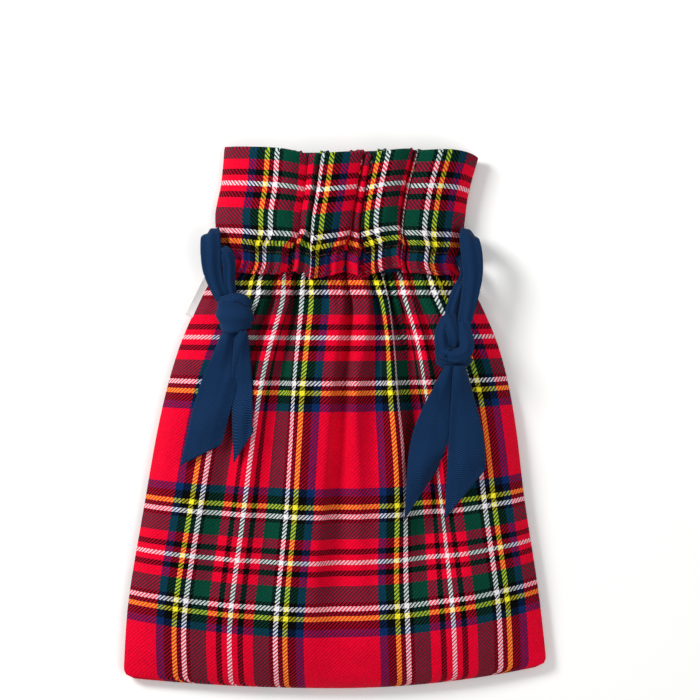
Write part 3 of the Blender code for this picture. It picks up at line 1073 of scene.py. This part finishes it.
@dataclass
class Tape:
    """A flat tape, folded lengthwise where it is narrower than it was woven."""

    finish: bpy.types.Material
    woven: float = 0.025
    thickness: float = 0.0007
    gap: float = 0.0009  # from one folded layer to the next
    columns: int = 14  # across each layer

    def folded(self, width: float, layers: int) -> tuple[np.ndarray, np.ndarray, np.ndarray]:
        """Fold the tape lengthwise into flat layers.

        Args:
            width: How wide the folded tape lies.
            layers: The most layers that the whole tape is folded into.

        Returns:
            Each column's distance across the flat tape, its share of the folded width, and its layer.
        """
        creases = [
            min(k * width, self.woven * (1 - 0.004 * (layers - k))) for k in range(layers + 1)
        ]
        spans = zip(creases, creases[1:])
        parts = [np.linspace(a, b, self.columns, endpoint=False) for a, b in spans]
        across = np.concatenate([*parts, creases[-1:]])
        layer = across / width
        return across, np.abs((layer + 1) % 2 - 1), layer

    def lay(
        self,
        name: str,
        stops: tuple[TapeStop, ...],
        rows: int,
        crown: float = 0.0,
        creases: float = 0.0,
        phase: float = 0.0,
    ) -> bpy.types.Object:
        """Lay a tape through its stops.

        Args:
            name: The piece's name.
            stops: Where the tape passes.
            rows: How many rows of faces it has along it.
            crown: How far its middle stands proud of its edges.
            creases: How deep its soft lengthwise creases are.
            phase: Where across the tape the creases start.

        Returns:
            The tape.
        """
        reached, table = 0.0, []
        for stop in stops:
            if table:
                reached += (Vector(stop.place) - Vector(table[-1][1:4])).length
            table.append((reached, *stop.place, *Vector(stop.width_way).normalized(), stop.width))
        laid = through(tuple(table), np.linspace(0.0, reached, rows + 1)).T
        middle, ways, widths = laid[:, :3], laid[:, 3:6], laid[:, 6]
        runs = np.gradient(middle, axis=0)
        runs /= np.linalg.norm(runs, axis=1)[:, None]
        ways = ways - runs * (ways * runs).sum(1)[:, None]
        ways /= np.linalg.norm(ways, axis=1)[:, None]
        outs = np.cross(ways, runs)
        face = math.copysign(1.0, outs[middle[:, 2].argmax(), 2])
        layers = math.ceil(self.woven / widths.min())
        points, across = [], []
        for row in range(rows + 1):
            flat, u, layer = self.folded(widths[row], layers)
            t = row / rows
            # The creases wander across the tape as they run along it, and die out at its edges
            drift = phase + 1.5 * math.sin(4.0 * t + phase)
            wave = np.sin(2 * math.pi * (1.6 * u + 0.35 * t) + drift) * np.sin(math.pi * u) ** 0.5
            height = crown * (1 - (2 * u - 1) ** 2) + creases * wave - self.gap * layer
            aside = ((u - 0.5) * widths[row])[:, None] * ways[row]
            points.append(middle[row] + aside + face * height[:, None] * outs[row])
            across.append(flat)
        true_run = run_along(middle)
        piece = grid_piece(name, np.array(points), np.array(across), true_run)
        self.dress(piece, float(true_run[-1]))
        return piece

    def dress(self, piece: bpy.types.Object, length: float) -> None:
        """Give a tape its thickness, finish and measures.

        Args:
            piece: The tape.
            length: How much of the flat tape it takes.
        """
        thicken(piece, self.thickness, 0.0)
        piece.data.materials.append(self.finish)
        log.info("%s: %.0f mm of tape", piece.name, length / MM)


@dataclass(frozen=True)
class Tail:
    """A tape's end: its left and right edges in plan, from the knot to where it is cut."""

    body: str
    left: tuple[tuple[float, float], ...]
    right: tuple[tuple[float, float], ...]
    crown: float  # how far its middle stands up between its edges
    lift: float  # how far it stands off the cloth beside the knot
    hidden_on_left: bool  # whether the part that is folded under starts at its left edge
    rows: int = 60
    beside_knot: float = 0.40  # the share of its length over which the knot holds it up
    clear: float = 0.0002  # between the cloth and the tape
    droop: float = 0.0012  # how far its edges sag below its middle
    settle: int = 13  # how many rows its stiffness evens out the cloth beneath it over

    def lay(self, tape: Tape, cloth: BVHTree) -> bpy.types.Object:
        """Lay the tail on the front cloth, folded under itself where it is narrower than woven.

        Args:
            tape: The tape that it belongs to.
            cloth: The front cloth that it rests on.

        Returns:
            The tail.
        """
        t = np.linspace(0.0, 1.0, self.rows + 1)
        stations = np.linspace(0.0, 1.0, len(self.left))
        left = through(tuple((s, *p) for s, p in zip(stations, self.left)), t).T
        right = through(tuple((s, *p) for s, p in zip(stations, self.right)), t).T
        widths = (right - left)[:, 0]
        layers = math.ceil(tape.woven / widths.min())
        across, u, layer = np.array([tape.folded(width, layers) for width in widths]).transpose(1, 0, 2)
        if self.hidden_on_left:
            u = 1.0 - u
        plan = left[:, None, :] * (1 - u)[:, :, None] + right[:, None, :] * u[:, :, None]
        ground = np.zeros(plan.shape[:2])
        for spot in np.ndindex(ground.shape):
            hit = cloth.ray_cast(Vector((*plan[spot], 0.2)), Vector((0.0, 0.0, -1.0)))[0]
            ground[spot] = hit.z if hit else 0.0
        under = (tape.woven / widths)[:, None] - layer
        near_knot = (1 - smooth(t / self.beside_knot))[:, None]
        bow = self.crown * (1 - (2 * u - 1) ** 2) * (0.40 + 0.60 * near_knot)
        wave = 0.0006 * np.sin(8.0 * t[:, None] + 3.5 * u) + 0.0003 * np.sin(19.0 * t[:, None])
        wish = bow + wave + self.lift * near_knot + tape.gap * under
        floor = ground + tape.thickness / 2 + self.clear
        top = floor.max(axis=1)
        kernel = np.hanning(self.settle) / np.hanning(self.settle).sum()
        for _ in range(2):
            top = np.convolve(np.pad(top, self.settle // 2, mode="edge"), kernel, mode="valid")
        settled = np.maximum(top[:, None] - self.droop * np.abs(2 * u - 1), floor)
        points = np.dstack([plan, (settled + wish)[:, :, None]])
        run = float(run_along(points[:, 0])[-1])
        piece = grid_piece(f"{self.body}_tape", points, across, t * run)
        tape.dress(piece, run)
        return piece


def stops(*rows: tuple[float, ...]) -> tuple[TapeStop, ...]:
    """Tape stops from rows of X, Y, Z, the width's way in X, Y and Z, and the width, in millimetres."""
    return tuple(
        TapeStop((x * MM, y * MM, z * MM), (a, b, c), w * MM) for x, y, z, a, b, c, w in rows
    )


@dataclass(frozen=True)
class Band:
    """A turn of the tape in a knot."""

    name: str
    route: tuple[TapeStop, ...]
    crown: float
    creases: float
    phase: float


class Hand(Enum):
    """The side of the sack that a drawstring is pulled from."""

    LEFT = "left"
    RIGHT = "right"


@dataclass(frozen=True)
class Drawstring:
    """One tape: in the casing, out of its two ends, through the knot and to its tails."""

    hand: Hand
    hidden: tuple[TapeStop, ...]
    front: tuple[TapeStop, ...]
    back: tuple[TapeStop, ...]
    bands: tuple[Band, ...]
    tails: tuple[Tail, ...]
    crown: float = 0.0012  # of the strands, as a band's
    creases: float = 0.0007
    bend: tuple[float, float] = (0.003, 0.015)  # how far past a tail's root it starts and ends its bend
    bend_height: float = 0.020
    rows: tuple[int, int, int] = (90, 110, 80)  # in the hidden stretch, a strand and a knot's band

    def build(self, tape: Tape, cloth: BVHTree) -> None:
        """Lay the whole tape.

        Args:
            tape: How the tape is made.
            cloth: The front cloth, which the tails rest on.
        """
        hand = self.hand.value
        body = f"{hand}_drawstring"
        hidden_rows, strand_rows, band_rows = self.rows
        hidden = tape.lay(f"{hand}_tape_hidden", self.hidden, hidden_rows)
        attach(hidden, "sack")
        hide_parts(f"{hand}_tape_in_casing")
        for where, route, phase in (("front", self.front, 0.6), ("back", self.back, 2.4)):
            name = f"{hand}_{where}_strand_tape"
            strand = tape.lay(name, route, strand_rows, self.crown, self.creases, phase)
            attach(strand, body)
            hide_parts(f"{hand}_{where}_strand")
        for band in self.bands:
            turn = tape.lay(band.name, band.route, band_rows, band.crown, band.creases, band.phase)
            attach(turn, body)
            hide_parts(f"{hand}_knot")
        for tail in self.tails:
            end = tail.lay(tape, cloth)
            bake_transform(end)
            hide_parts(tail.body)


LEFT_DRAWSTRING = Drawstring(
    hand=Hand.LEFT,
    hidden=stops(
        (-37.6, 92.4, 13.2, 0, 1, 0, 5.6), (0.0, 92.4, 13.4, 0, 1, 0, 5.6),
        (45.0, 92.4, 11.8, 0, 1, 0, 5.6), (60.0, 92.4, 8.6, 0, 1, 0, 5.6),
        (67.5, 92.4, 7.6, 0, 1, 0, 5.6), (70.6, 92.4, 7.2, 0, 1, 0, 5.6),
        (71.4, 92.4, 6.6, 0, 1, 0, 5.6), (70.6, 92.4, 5.0, 0, 1, 0, 5.6),
        (67.5, 92.4, 4.4, 0, 1, 0, 5.6), (60.0, 92.4, 4.2, 0, 1, 0, 5.6),
        (0.0, 92.4, 4.1, 0, 1, 0, 5.6), (-37.6, 92.4, 4.1, 0, 1, 0, 5.6),
    ),
    front=stops(
        (-38.0, 92.4, 12.4, 0, 1, 0, 5.6), (-52.0, 92.4, 10.4, 0, 1, 0, 5.6),
        (-62.0, 92.4, 7.6, 0, 1, 0, 5.8), (-68.5, 92.8, 6.4, 0, 1, 0, 6.2),
        (-72.6, 95.2, 9.6, 0.2, 1, 0, 6.6), (-73.6, 99.4, 14.4, 0.5, 0.8, 0, 7.0),
        (-70.6, 102.2, 18.6, 0.6, 0.8, 0, 7.2), (-66.2, 100.2, 20.6, 0.9, 0.6, 0, 7.6),
        (-64.4, 93.0, 20.0, 1, 0.1, 0, 7.4), (-64.6, 84.0, 19.4, 1, 0, 0, 6.8),
        (-63.4, 76.0, 20.4, 1, 0.1, 0, 6.8), (-61.6, 68.0, 22.4, 1, 0, 0, 7.4),
    ),
    back=stops(
        (-38.0, 92.4, 4.1, 0, 1, 0, 5.6), (-56.0, 92.4, 4.1, 0, 1, 0, 5.6),
        (-69.0, 92.8, 4.2, 0, 1, 0, 5.8), (-74.0, 97.6, 5.4, 0.1, 1, -0.2, 7.0),
        (-77.6, 106.0, 9.0, 0.3, 1, -0.5, 9.0), (-75.6, 113.6, 14.2, 0.75, 0.65, -0.2, 10.0),
        (-75.8, 111.0, 19.4, 1, 0.45, 0, 11.4), (-75.4, 102.0, 21.6, 1, 0.1, 0, 12.4),
        (-74.6, 91.0, 21.6, 1, 0.1, 0, 11.4), (-71.8, 81.0, 21.0, 0.95, 0.3, 0, 9.6),
        (-68.2, 73.0, 21.4, 0.9, 0.4, 0, 8.2), (-65.0, 66.0, 22.4, 0.9, 0.3, 0, 7.6),
    ),
    bands=(
        Band(
            "left_knot_core",
            stops(
                (-63.6, 72.5, 22.6, 1, 0.1, 0, 12.5), (-62.4, 66.0, 23.4, 1, 0, 0, 13.0),
                (-60.8, 58.0, 22.6, 1, 0, 0, 13.0), (-60.4, 49.5, 20.2, 1, 0, 0, 12.5),
            ),
            crown=0.0026, creases=0.0012, phase=0.4,
        ),
        Band(
            "left_knot_wrap",
            stops(
                (-60.0, 64.0, 17.2, -0.2, 1, 0.1, 9.0), (-66.6, 64.6, 18.0, -0.2, 1, 0.3, 12.0),
                (-70.6, 63.4, 21.4, -0.15, 1, 0.25, 15.5), (-68.6, 62.4, 26.0, -0.1, 1, 0.15, 18.0),
                (-62.6, 61.2, 28.6, 0.1, 1, 0, 19.0), (-56.0, 60.4, 27.8, 0.3, 1, 0, 15.5),
                (-51.4, 60.0, 24.0, 0.35, 1, 0, 11.0), (-51.0, 59.4, 20.4, 0.2, 1, -0.1, 9.5),
                (-54.6, 58.6, 18.0, 0.1, 1, -0.2, 8.5), (-60.0, 58.0, 17.2, 0, 1, 0, 8.4),
            ),
            crown=0.0014, creases=0.0006, phase=0.9,
        ),
        Band(
            "left_knot_upper_wrap",
            stops(
                (-62.0, 70.0, 18.4, 0.2, 1, 0, 8.4), (-68.6, 69.0, 19.8, 0.2, 1, 0.3, 8.4),
                (-69.4, 68.8, 23.4, 0.0, 1, 0.3, 8.6), (-64.4, 70.2, 26.6, -0.2, 1, 0.2, 8.8),
                (-58.0, 71.2, 26.6, -0.1, 1, 0.2, 8.6), (-53.0, 68.0, 24.4, 0.4, 1, 0.1, 8.4),
                (-52.6, 65.0, 20.4, 0.3, 1, 0, 8.4), (-57.0, 64.0, 18.0, 0, 1, 0, 8.4),
            ),
            crown=0.0012, creases=0.0005, phase=2.2,
        ),
    ),
    tails=(
        Tail(
            "left_outer_tail",
            ((-0.0680, 0.0530), (-0.0836, 0.0153), (-0.0940, -0.0287)),
            ((-0.0600, 0.0530), (-0.0600, 0.0200), (-0.0620, -0.0125)),
            crown=0.0018, lift=0.0030, hidden_on_left=False,
        ),
        Tail(
            "left_inner_tail",
            ((-0.0608, 0.0530), (-0.0626, 0.0180), (-0.0612, -0.0265)),
            ((-0.0530, 0.0530), (-0.0506, 0.0238), (-0.0498, -0.0085)),
            crown=0.0016, lift=0.0036, hidden_on_left=True,
        ),
    ),
)

RIGHT_DRAWSTRING = Drawstring(
    hand=Hand.RIGHT,
    hidden=stops(
        (40.8, 99.0, 13.2, 0, 1, 0, 5.6), (0.0, 99.0, 13.4, 0, 1, 0, 5.6),
        (-42.0, 99.0, 11.4, 0, 1, 0, 5.6), (-56.0, 99.0, 8.6, 0, 1, 0, 5.6),
        (-63.5, 99.0, 7.6, 0, 1, 0, 5.6), (-66.6, 99.0, 7.2, 0, 1, 0, 5.6),
        (-67.4, 99.0, 6.6, 0, 1, 0, 5.6), (-66.6, 99.0, 5.0, 0, 1, 0, 5.6),
        (-63.5, 99.0, 4.4, 0, 1, 0, 5.6), (-56.0, 99.0, 4.2, 0, 1, 0, 5.6),
        (0.0, 99.0, 4.1, 0, 1, 0, 5.6), (40.8, 99.0, 4.1, 0, 1, 0, 5.6),
    ),
    front=stops(
        (41.2, 99.0, 12.4, 0, 1, 0, 5.6), (56.0, 99.0, 10.2, 0, 1, 0, 5.6),
        (66.0, 98.8, 7.4, 0, 1, 0, 5.8), (73.6, 97.6, 6.4, 0.1, 1, 0, 6.2),
        (79.4, 93.0, 10.0, 0.8, 0.6, 0, 6.8), (79.6, 86.0, 14.6, 1, 0.1, 0, 7.2),
        (75.4, 78.0, 18.0, 1, 0.3, 0, 7.4), (72.0, 69.0, 19.4, 1, 0.2, 0, 7.2),
        (70.2, 60.0, 21.4, 1, 0, 0, 7.0), (71.0, 51.0, 22.6, 1, 0, 0, 7.0),
    ),
    back=stops(
        (41.2, 99.0, 4.1, 0, 1, 0, 5.6), (60.0, 99.0, 4.1, 0, 1, 0, 5.6),
        (74.0, 99.4, 4.3, 0, 1, 0, 5.8), (80.6, 102.4, 5.6, 0, 1, -0.2, 7.0),
        (84.6, 108.0, 9.2, -0.2, 1, -0.5, 9.0), (81.6, 113.2, 14.6, -0.65, 0.8, -0.2, 10.0),
        (81.8, 109.4, 20.2, -1, 0.5, 0, 11.6), (83.2, 99.6, 22.2, -1, 0.1, 0, 12.5),
        (83.9, 87.6, 22.2, -1, 0, 0, 11.4), (81.8, 74.0, 22.2, -1, -0.1, 0, 10.2),
        (79.2, 62.0, 23.6, -1, -0.15, 0, 8.8), (77.0, 53.0, 24.4, -1, -0.2, 0, 7.6),
    ),
    bands=(
        Band(
            "right_knot_core",
            stops(
                (74.6, 58.0, 20.4, 1, 0, 0, 12.5), (73.4, 50.0, 19.6, 1, 0, 0, 13.0),
                (72.4, 41.0, 20.6, 1, 0, 0, 14.0), (72.2, 29.0, 20.8, 1, 0, 0, 12.5),
            ),
            crown=0.0022, creases=0.0010, phase=1.4,
        ),
        Band(
            "right_knot_lobe",
            stops(
                (78.0, 58.6, 24.2, -1, -0.3, 0, 8.4), (78.4, 52.4, 26.2, -1, -0.1, 0, 8.4),
                (80.0, 46.4, 28.2, -0.9, 0.3, 0, 8.6), (79.0, 40.8, 29.4, -0.7, 0.8, 0, 8.6),
                (73.0, 38.0, 29.2, 0, 1, 0, 8.4), (66.4, 39.6, 27.0, 0.4, 1, 0, 8.4),
                (63.0, 43.0, 22.6, 0.5, 1, 0, 8.4), (65.4, 44.0, 19.4, 0.4, 1, 0, 8.4),
            ),
            crown=0.0016, creases=0.0005, phase=0.6,
        ),
        Band(
            "right_knot_strand",
            stops(
                (69.0, 63.0, 22.6, 1, 0.3, 0, 8.4), (70.4, 56.0, 25.4, 1, 0.3, 0, 8.4),
                (72.4, 49.4, 26.2, 1, 0.2, 0, 8.4), (73.0, 43.0, 24.2, 1, 0, 0, 8.4),
            ),
            crown=0.0014, creases=0.0004, phase=1.8,
        ),
        Band(
            "right_knot_shoulder",
            stops(
                (68.6, 61.0, 21.8, 1, 0.4, 0, 8.4), (65.8, 54.6, 24.6, 1, 0.4, 0, 8.4),
                (64.6, 47.4, 26.0, 1, 0.0, 0, 8.4), (66.2, 41.4, 26.2, 0.9, -0.6, 0, 8.4),
                (71.0, 37.4, 25.8, 0.5, -1, 0, 8.4), (76.4, 37.0, 23.6, 0, -1, 0, 8.4),
            ),
            crown=0.0016, creases=0.0005, phase=2.2,
        ),
        Band(
            "right_knot_under_wrap",
            stops(
                (68.0, 39.0, 18.0, 0.2, 1, 0, 8.4), (63.0, 37.4, 20.6, 0.3, 1, 0.2, 8.4),
                (65.6, 35.0, 24.8, 0.3, 1, 0.3, 8.4), (72.0, 33.6, 26.4, 0, 1, 0.3, 8.6),
                (78.2, 35.4, 24.6, -0.3, 1, 0.2, 8.4), (81.0, 38.4, 21.2, -0.4, 1, 0, 8.4),
                (77.0, 40.4, 18.6, -0.2, 1, 0, 8.4),
            ),
            crown=0.0014, creases=0.0005, phase=1.2,
        ),
    ),
    tails=(
        Tail(
            "right_inner_tail",
            ((0.0665, 0.0320), (0.0470, -0.0098), (0.0420, -0.0622)),
            ((0.0730, 0.0320), (0.0705, -0.0060), (0.0622, -0.0311)),
            crown=0.0020, lift=0.0030, hidden_on_left=False,
        ),
        Tail(
            "right_outer_tail",
            ((0.0715, 0.0320), (0.0690, -0.0120), (0.0665, -0.0610)),
            ((0.0790, 0.0320), (0.0890, -0.0060), (0.0915, -0.0310)),
            crown=0.0020, lift=0.0038, hidden_on_left=False,
        ),
    ),
)


# ---------------------------------------------------------------------------------------------------
# Sewing and the label


@dataclass(frozen=True)
class StitchRow:
    """A row of lockstitch over gathered cloth."""

    thread: float = 0.0005
    pitch: float = 0.0031
    length: float = 0.0024
    arch: tuple[float, ...] = (-0.0002, 0.00015, 0.0002, 0.00015, -0.0002)  # heights along a stitch

    def sew(
        self, name: str, line: np.ndarray, outward: float, finish: bpy.types.Material
    ) -> bpy.types.Object:
        """Sew a row along a line of places.

        Args:
            name: The piece's name.
            line: The row's places on the cloth's outer surface.
            outward: 1 where the outer surface faces up, and -1 where it faces down.
            finish: The thread's material.

        Returns:
            The stitches, as one mesh.
        """
        run = run_along(line)
        curve = bpy.data.curves.new(name, "CURVE")
        curve.dimensions = "3D"
        curve.bevel_depth = self.thread / 2
        curve.bevel_resolution = 1
        curve.use_fill_caps = True
        arch = np.array(self.arch)
        for start in np.arange(2 * self.pitch, run[-1] - 3 * self.pitch, self.pitch):
            at = start + self.length * np.linspace(0.0, 1.0, len(arch))
            places = np.array([np.interp(at, run, axis) for axis in line.T]).T
            places[:, 2] += outward * arch
            stitch = curve.splines.new("POLY")
            stitch.points.add(len(arch) - 1)
            for point, place in zip(stitch.points, places):
                point.co = (*place, 1.0)
        guide = bpy.data.objects.new(f"{name}_guide", curve)
        bpy.context.scene.collection.objects.link(guide)
        evaluated = guide.evaluated_get(bpy.context.evaluated_depsgraph_get())
        mesh = bpy.data.meshes.new_from_object(evaluated)
        bpy.data.objects.remove(guide)
        mesh.materials.clear()
        mesh.materials.append(finish)
        piece = bpy.data.objects.new(name, mesh)
        bpy.context.scene.collection.objects.link(piece)
        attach(piece, "sack")
        log.info("%s: sewn", name)
        return piece


@dataclass(frozen=True)
class SideLabel:
    """The blank woven label, caught by one long edge in the left seam."""

    width: float = 0.0060
    thickness: float = 0.0005
    curl: float = 0.0012
    rows: int = 28
    columns: int = 10
    top: tuple[float, float] = (-0.0794, 0.0886)  # the two ends of its free edge
    bottom: tuple[float, float] = (-0.0921, 0.0636)

    def build(self, finish: bpy.types.Material) -> bpy.types.Object:
        """Make the label, at the height of its solid.

        Args:
            finish: The label's material.

        Returns:
            The label.
        """
        low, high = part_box("side_label")
        way = Vector(self.bottom) - Vector(self.top)
        length = way.length
        run = way.normalized()
        outward = Vector((run.y, -run.x))
        start = Vector(self.top) - outward * self.width
        points = np.zeros((self.rows + 1, self.columns + 1, 3))
        for row, column in np.ndindex(points.shape[:2]):
            s, c = row / self.rows, column / self.columns
            place = start + run * length * s + outward * self.width * c
            rise = self.curl * c * c * (0.4 + 0.6 * math.sin(math.pi * s))
            points[row, column] = (place.x, place.y, (low.z + high.z) / 2 + rise)
        across = np.linspace(0.0, self.width, self.columns + 1)
        along = np.linspace(0.0, length, self.rows + 1)
        piece = grid_piece("side_label_weave", points, across, along)
        thicken(piece, self.thickness, 0.0)
        piece.data.materials.append(finish)
        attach(piece, "label")
        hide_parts("side_label")
        log.info("%s: built", piece.name)
        return piece


# ---------------------------------------------------------------------------------------------------
# Studio


@dataclass(frozen=True)
class SoftLight:
    """A square soft box that points at the sack."""

    name: str
    place: tuple[float, float, float]
    size: float
    power: float

    def hang(self) -> None:
        """Hang the light."""
        lamp = bpy.data.lights.new(self.name, "AREA")
        lamp.size = self.size
        lamp.energy = self.power
        light = bpy.data.objects.new(self.name, lamp)
        light.location = self.place
        light.rotation_euler = (-Vector(self.place)).to_track_quat("-Z", "Y").to_euler()
        bpy.context.scene.collection.objects.link(light)


@dataclass(frozen=True)
class Studio:
    """A white table, lit softly, seen from straight above."""

    table_half: float = 3.0
    table_drop: float = 0.0003  # keeps the table clear of the sack's underside
    ambient: float = 0.42
    camera_height: float = 1.60
    subject_height: float = 0.015
    view_width: float = 0.427
    view_middle: tuple[float, float] = (0.00915, 0.0415)
    sensor: float = 36.0
    lights: tuple[SoftLight, ...] = (
        SoftLight("key", (-0.95, 0.70, 0.85), 0.45, 19.0),
        SoftLight("fill", (0.80, -0.40, 1.30), 0.90, 7.0),
    )

    def lay_table(self) -> None:
        """Lay the white paper that the sack lies on."""
        sheet = bmesh.new()
        bmesh.ops.create_grid(sheet, x_segments=1, y_segments=1, size=self.table_half)
        bmesh.ops.translate(sheet, vec=(0.0, 0.0, -self.table_drop), verts=sheet.verts)
        mesh = bpy.data.meshes.new("table")
        sheet.to_mesh(mesh)
        sheet.free()
        mesh.materials.append(StudioPaper().make())
        table = bpy.data.objects.new("table", mesh)
        bpy.context.scene.collection.objects.link(table)

    def light(self) -> None:
        """Hang the lights, and fill the room with an even white."""
        for light in self.lights:
            light.hang()
        world = bpy.data.worlds.new("studio")
        world.use_nodes = True
        room = world.node_tree.nodes["Background"]
        room.inputs["Strength"].default_value = self.ambient
        room.inputs["Color"].default_value = (1.0, 1.0, 1.0, 1.0)
        bpy.context.scene.world = world
        bpy.context.scene.view_settings.view_transform = "Standard"

    def place_camera(self) -> None:
        """Place the camera straight above, so that the view is as wide as stated at the sack's height."""
        camera = bpy.data.objects.new("camera", bpy.data.cameras.new("camera"))
        camera.location = (*self.view_middle, self.camera_height)
        camera.data.sensor_width = self.sensor
        distance = self.camera_height - self.subject_height
        camera.data.lens = self.sensor * distance / self.view_width
        bpy.context.scene.collection.objects.link(camera)
        bpy.context.scene.camera = camera

    def build(self) -> None:
        """Set up the table, the lights and the camera."""
        self.lay_table()
        self.light()
        self.place_camera()


# ---------------------------------------------------------------------------------------------------
# The sack


@dataclass
class GiftSack:
    """The whole sack, put together from its cloth, thread, tapes and label."""

    form: SackForm
    tartan: bpy.types.Material
    thread: bpy.types.Material
    mouth_hinge: float = 0.103  # where the front of the cuff starts to lift
    mouth_bend: tuple[float, float] = (0.0085, 0.0155)  # heights, from the seams to the front

    def build_body(self) -> bpy.types.Object:
        """Lay the two panels below the cuff.

        Returns:
            The front cloth, which the tails rest on.
        """
        body = ClothBody(self.form, self.tartan)
        gathers = ((-0.166, 0.0), (0.040, 0.0), (0.070, 0.25), (0.084, 0.9), (0.103, 1.3))
        front = body.build(
            GatheredPanel(
                self.form, "front_cloth", self.form.front, FRONT_BODY_FOLDS, Puckers(0.0095, gathers)
            ),
            outward=-1.0,
        )
        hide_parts("front_panel")
        back = body.build(
            GatheredPanel(
                self.form, "back_cloth", self.form.back, BACK_BODY_FOLDS, Puckers(0.0105, gathers),
                inward=1.0, lifted=0.0,
            ),
            outward=1.0,
        )
        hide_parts("back_panel")
        return front

    def build_cuffs(self) -> None:
        """Lay the casings and headings, and sew their rows of stitching."""
        slip = (
            (-0.133, 0.0026), (-0.109, 0.0008), (-0.098, -0.0008), (-0.079, -0.0012),
            (-0.070, -0.0026), (-0.063, 0.0), (-0.052, 0.0015), (-0.043, -0.0020),
            (-0.036, -0.0052), (-0.030, -0.0045), (-0.018, -0.0020), (-0.006, 0.0008),
            (0.006, 0.0008), (0.016, -0.0025), (0.026, -0.0032), (0.040, -0.0005),
            (0.049, 0.0026), (0.060, 0.0042), (0.066, 0.0034), (0.076, 0.0005), (0.088, 0.0),
            (0.102, -0.0008), (0.108, -0.0018), (0.119, -0.0015), (0.133, -0.0022),
        )
        front_edge = (
            (-0.133, 0.1662), (-0.105, 0.1652), (-0.090, 0.1640), (-0.075, 0.1610),
            (-0.063, 0.1590), (-0.052, 0.1610), (-0.040, 0.1610), (-0.020, 0.1620),
            (0.000, 0.1626), (0.012, 0.1605), (0.026, 0.1605), (0.040, 0.1622), (0.060, 0.1640),
            (0.076, 0.1632), (0.090, 0.1632), (0.110, 0.1638), (0.122, 0.1620), (0.133, 0.1588),
        )
        gathers = ((0.085, 1.0), (0.103, 1.0), (0.112, 0.35), (0.125, 0.0), (0.166, 0.0))
        front = ClothCuff(self.form, self.tartan, slip=slip, top_edge=front_edge)
        front_panels = [
            GatheredPanel(
                self.form, f"front_{part}_cloth", self.form.front_cuff, FRONT_CUFF_FOLDS,
                Puckers(0.0085, gathers), lifted=0.5,
            )
            for part in ("casing", "heading")
        ]
        heading = self.build_cuff("front", front, front_panels, -1.0)
        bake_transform(heading)

        back_edge = (
            (-0.133, 0.1655), (-0.060, 0.1630), (0.0, 0.1632), (0.060, 0.1640), (0.133, 0.1595)
        )
        level = ((-0.133, 0.0), (0.133, 0.0))
        gathers = ((0.085, 1.0), (0.103, 1.0), (0.112, 0.3), (0.125, 0.0), (0.166, 0.0))
        back = ClothCuff(self.form, self.tartan, slip=level, top_edge=back_edge)
        back_panels = [
            GatheredPanel(
                self.form, f"back_{part}_cloth", self.form.back_cuff, BACK_CUFF_FOLDS,
                Puckers(0.0095, gathers), inward=1.0, lifted=0.0,
            )
            for part in ("casing", "heading")
        ]
        heading = self.build_cuff("back", back, back_panels, 1.0)
        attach(heading, "sack")

    def build_cuff(
        self, side: str, cuff: ClothCuff, panels: list[GatheredPanel], outward: float
    ) -> bpy.types.Object:
        """Lay one cuff and sew its rows of stitching.

        Args:
            side: Front or back, as its pieces are named.
            cuff: The cuff.
            panels: The cloth of its casing and of its heading.
            outward: -1 where its outer surface faces up, and 1 where it faces down.

        Returns:
            The heading, which it leaves without a body.
        """
        casing = cuff.casing(panels[0], outward)
        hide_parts(f"{side}_casing")
        heading = cuff.heading(panels[1], outward)
        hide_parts(f"{side}_heading")
        self.sew_rows(side, panels[0], cuff, -outward)
        return heading

    def sew_rows(self, side: str, panel: GatheredPanel, cuff: ClothCuff, outward: float) -> None:
        """Sew the lower and upper rows of a casing.

        Args:
            side: Front or back, as its pieces are named.
            panel: The casing's cloth.
            cuff: The cuff that the casing belongs to.
            outward: 1 where the outer surface faces up, and -1 where it faces down.
        """
        for where, y in (("lower", self.form.lower_row), ("upper", self.form.upper_row - 0.0006)):
            line = panel.place_row(lambda sides: np.full_like(sides, y), y)
            line[:, 1] += cuff.crept(panel.across())
            row = StitchRow().sew(f"{side}_{where}_thread", line, outward, self.thread)
            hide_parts(f"{side}_{where}_stitching")


def dress_hidden_nodes(binding: bpy.types.Material) -> None:
    """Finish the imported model's own seam allowances, which stay inside the sack.

    Args:
        binding: The material of the tape that binds them.
    """
    for hand in ("left", "right", "bottom"):
        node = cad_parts[f"{hand}_seam_allowance"]
        node.data.materials.clear()
        node.data.materials.append(binding)


def main() -> None:
    """Build the sack and its studio."""
    logging.basicConfig(level=logging.INFO, format="%(message)s")
    Studio().build()
    thread = PlainWeave("polyester_sewing_thread", "#5A0A18", "#2A040C", 0.0006, 0.6).make()
    sack = GiftSack(SackForm(), TartanTwill().make(), thread)
    front = sack.build_body()
    sack.build_cuffs()
    tape = Tape(HerringboneTape().make())
    cloth = surface_of(front)
    LEFT_DRAWSTRING.build(tape, cloth)
    RIGHT_DRAWSTRING.build(tape, cloth)
    SideLabel().build(PlainWeave("satin_label", "#F4F4F2", "#D8D8D6", 0.0005, 0.55).make())
    dress_hidden_nodes(PlainWeave("bound_seam_tape", "#7A1020", "#3C0810", 0.0008, 0.8).make())


if __name__ == "__main__":
    main()
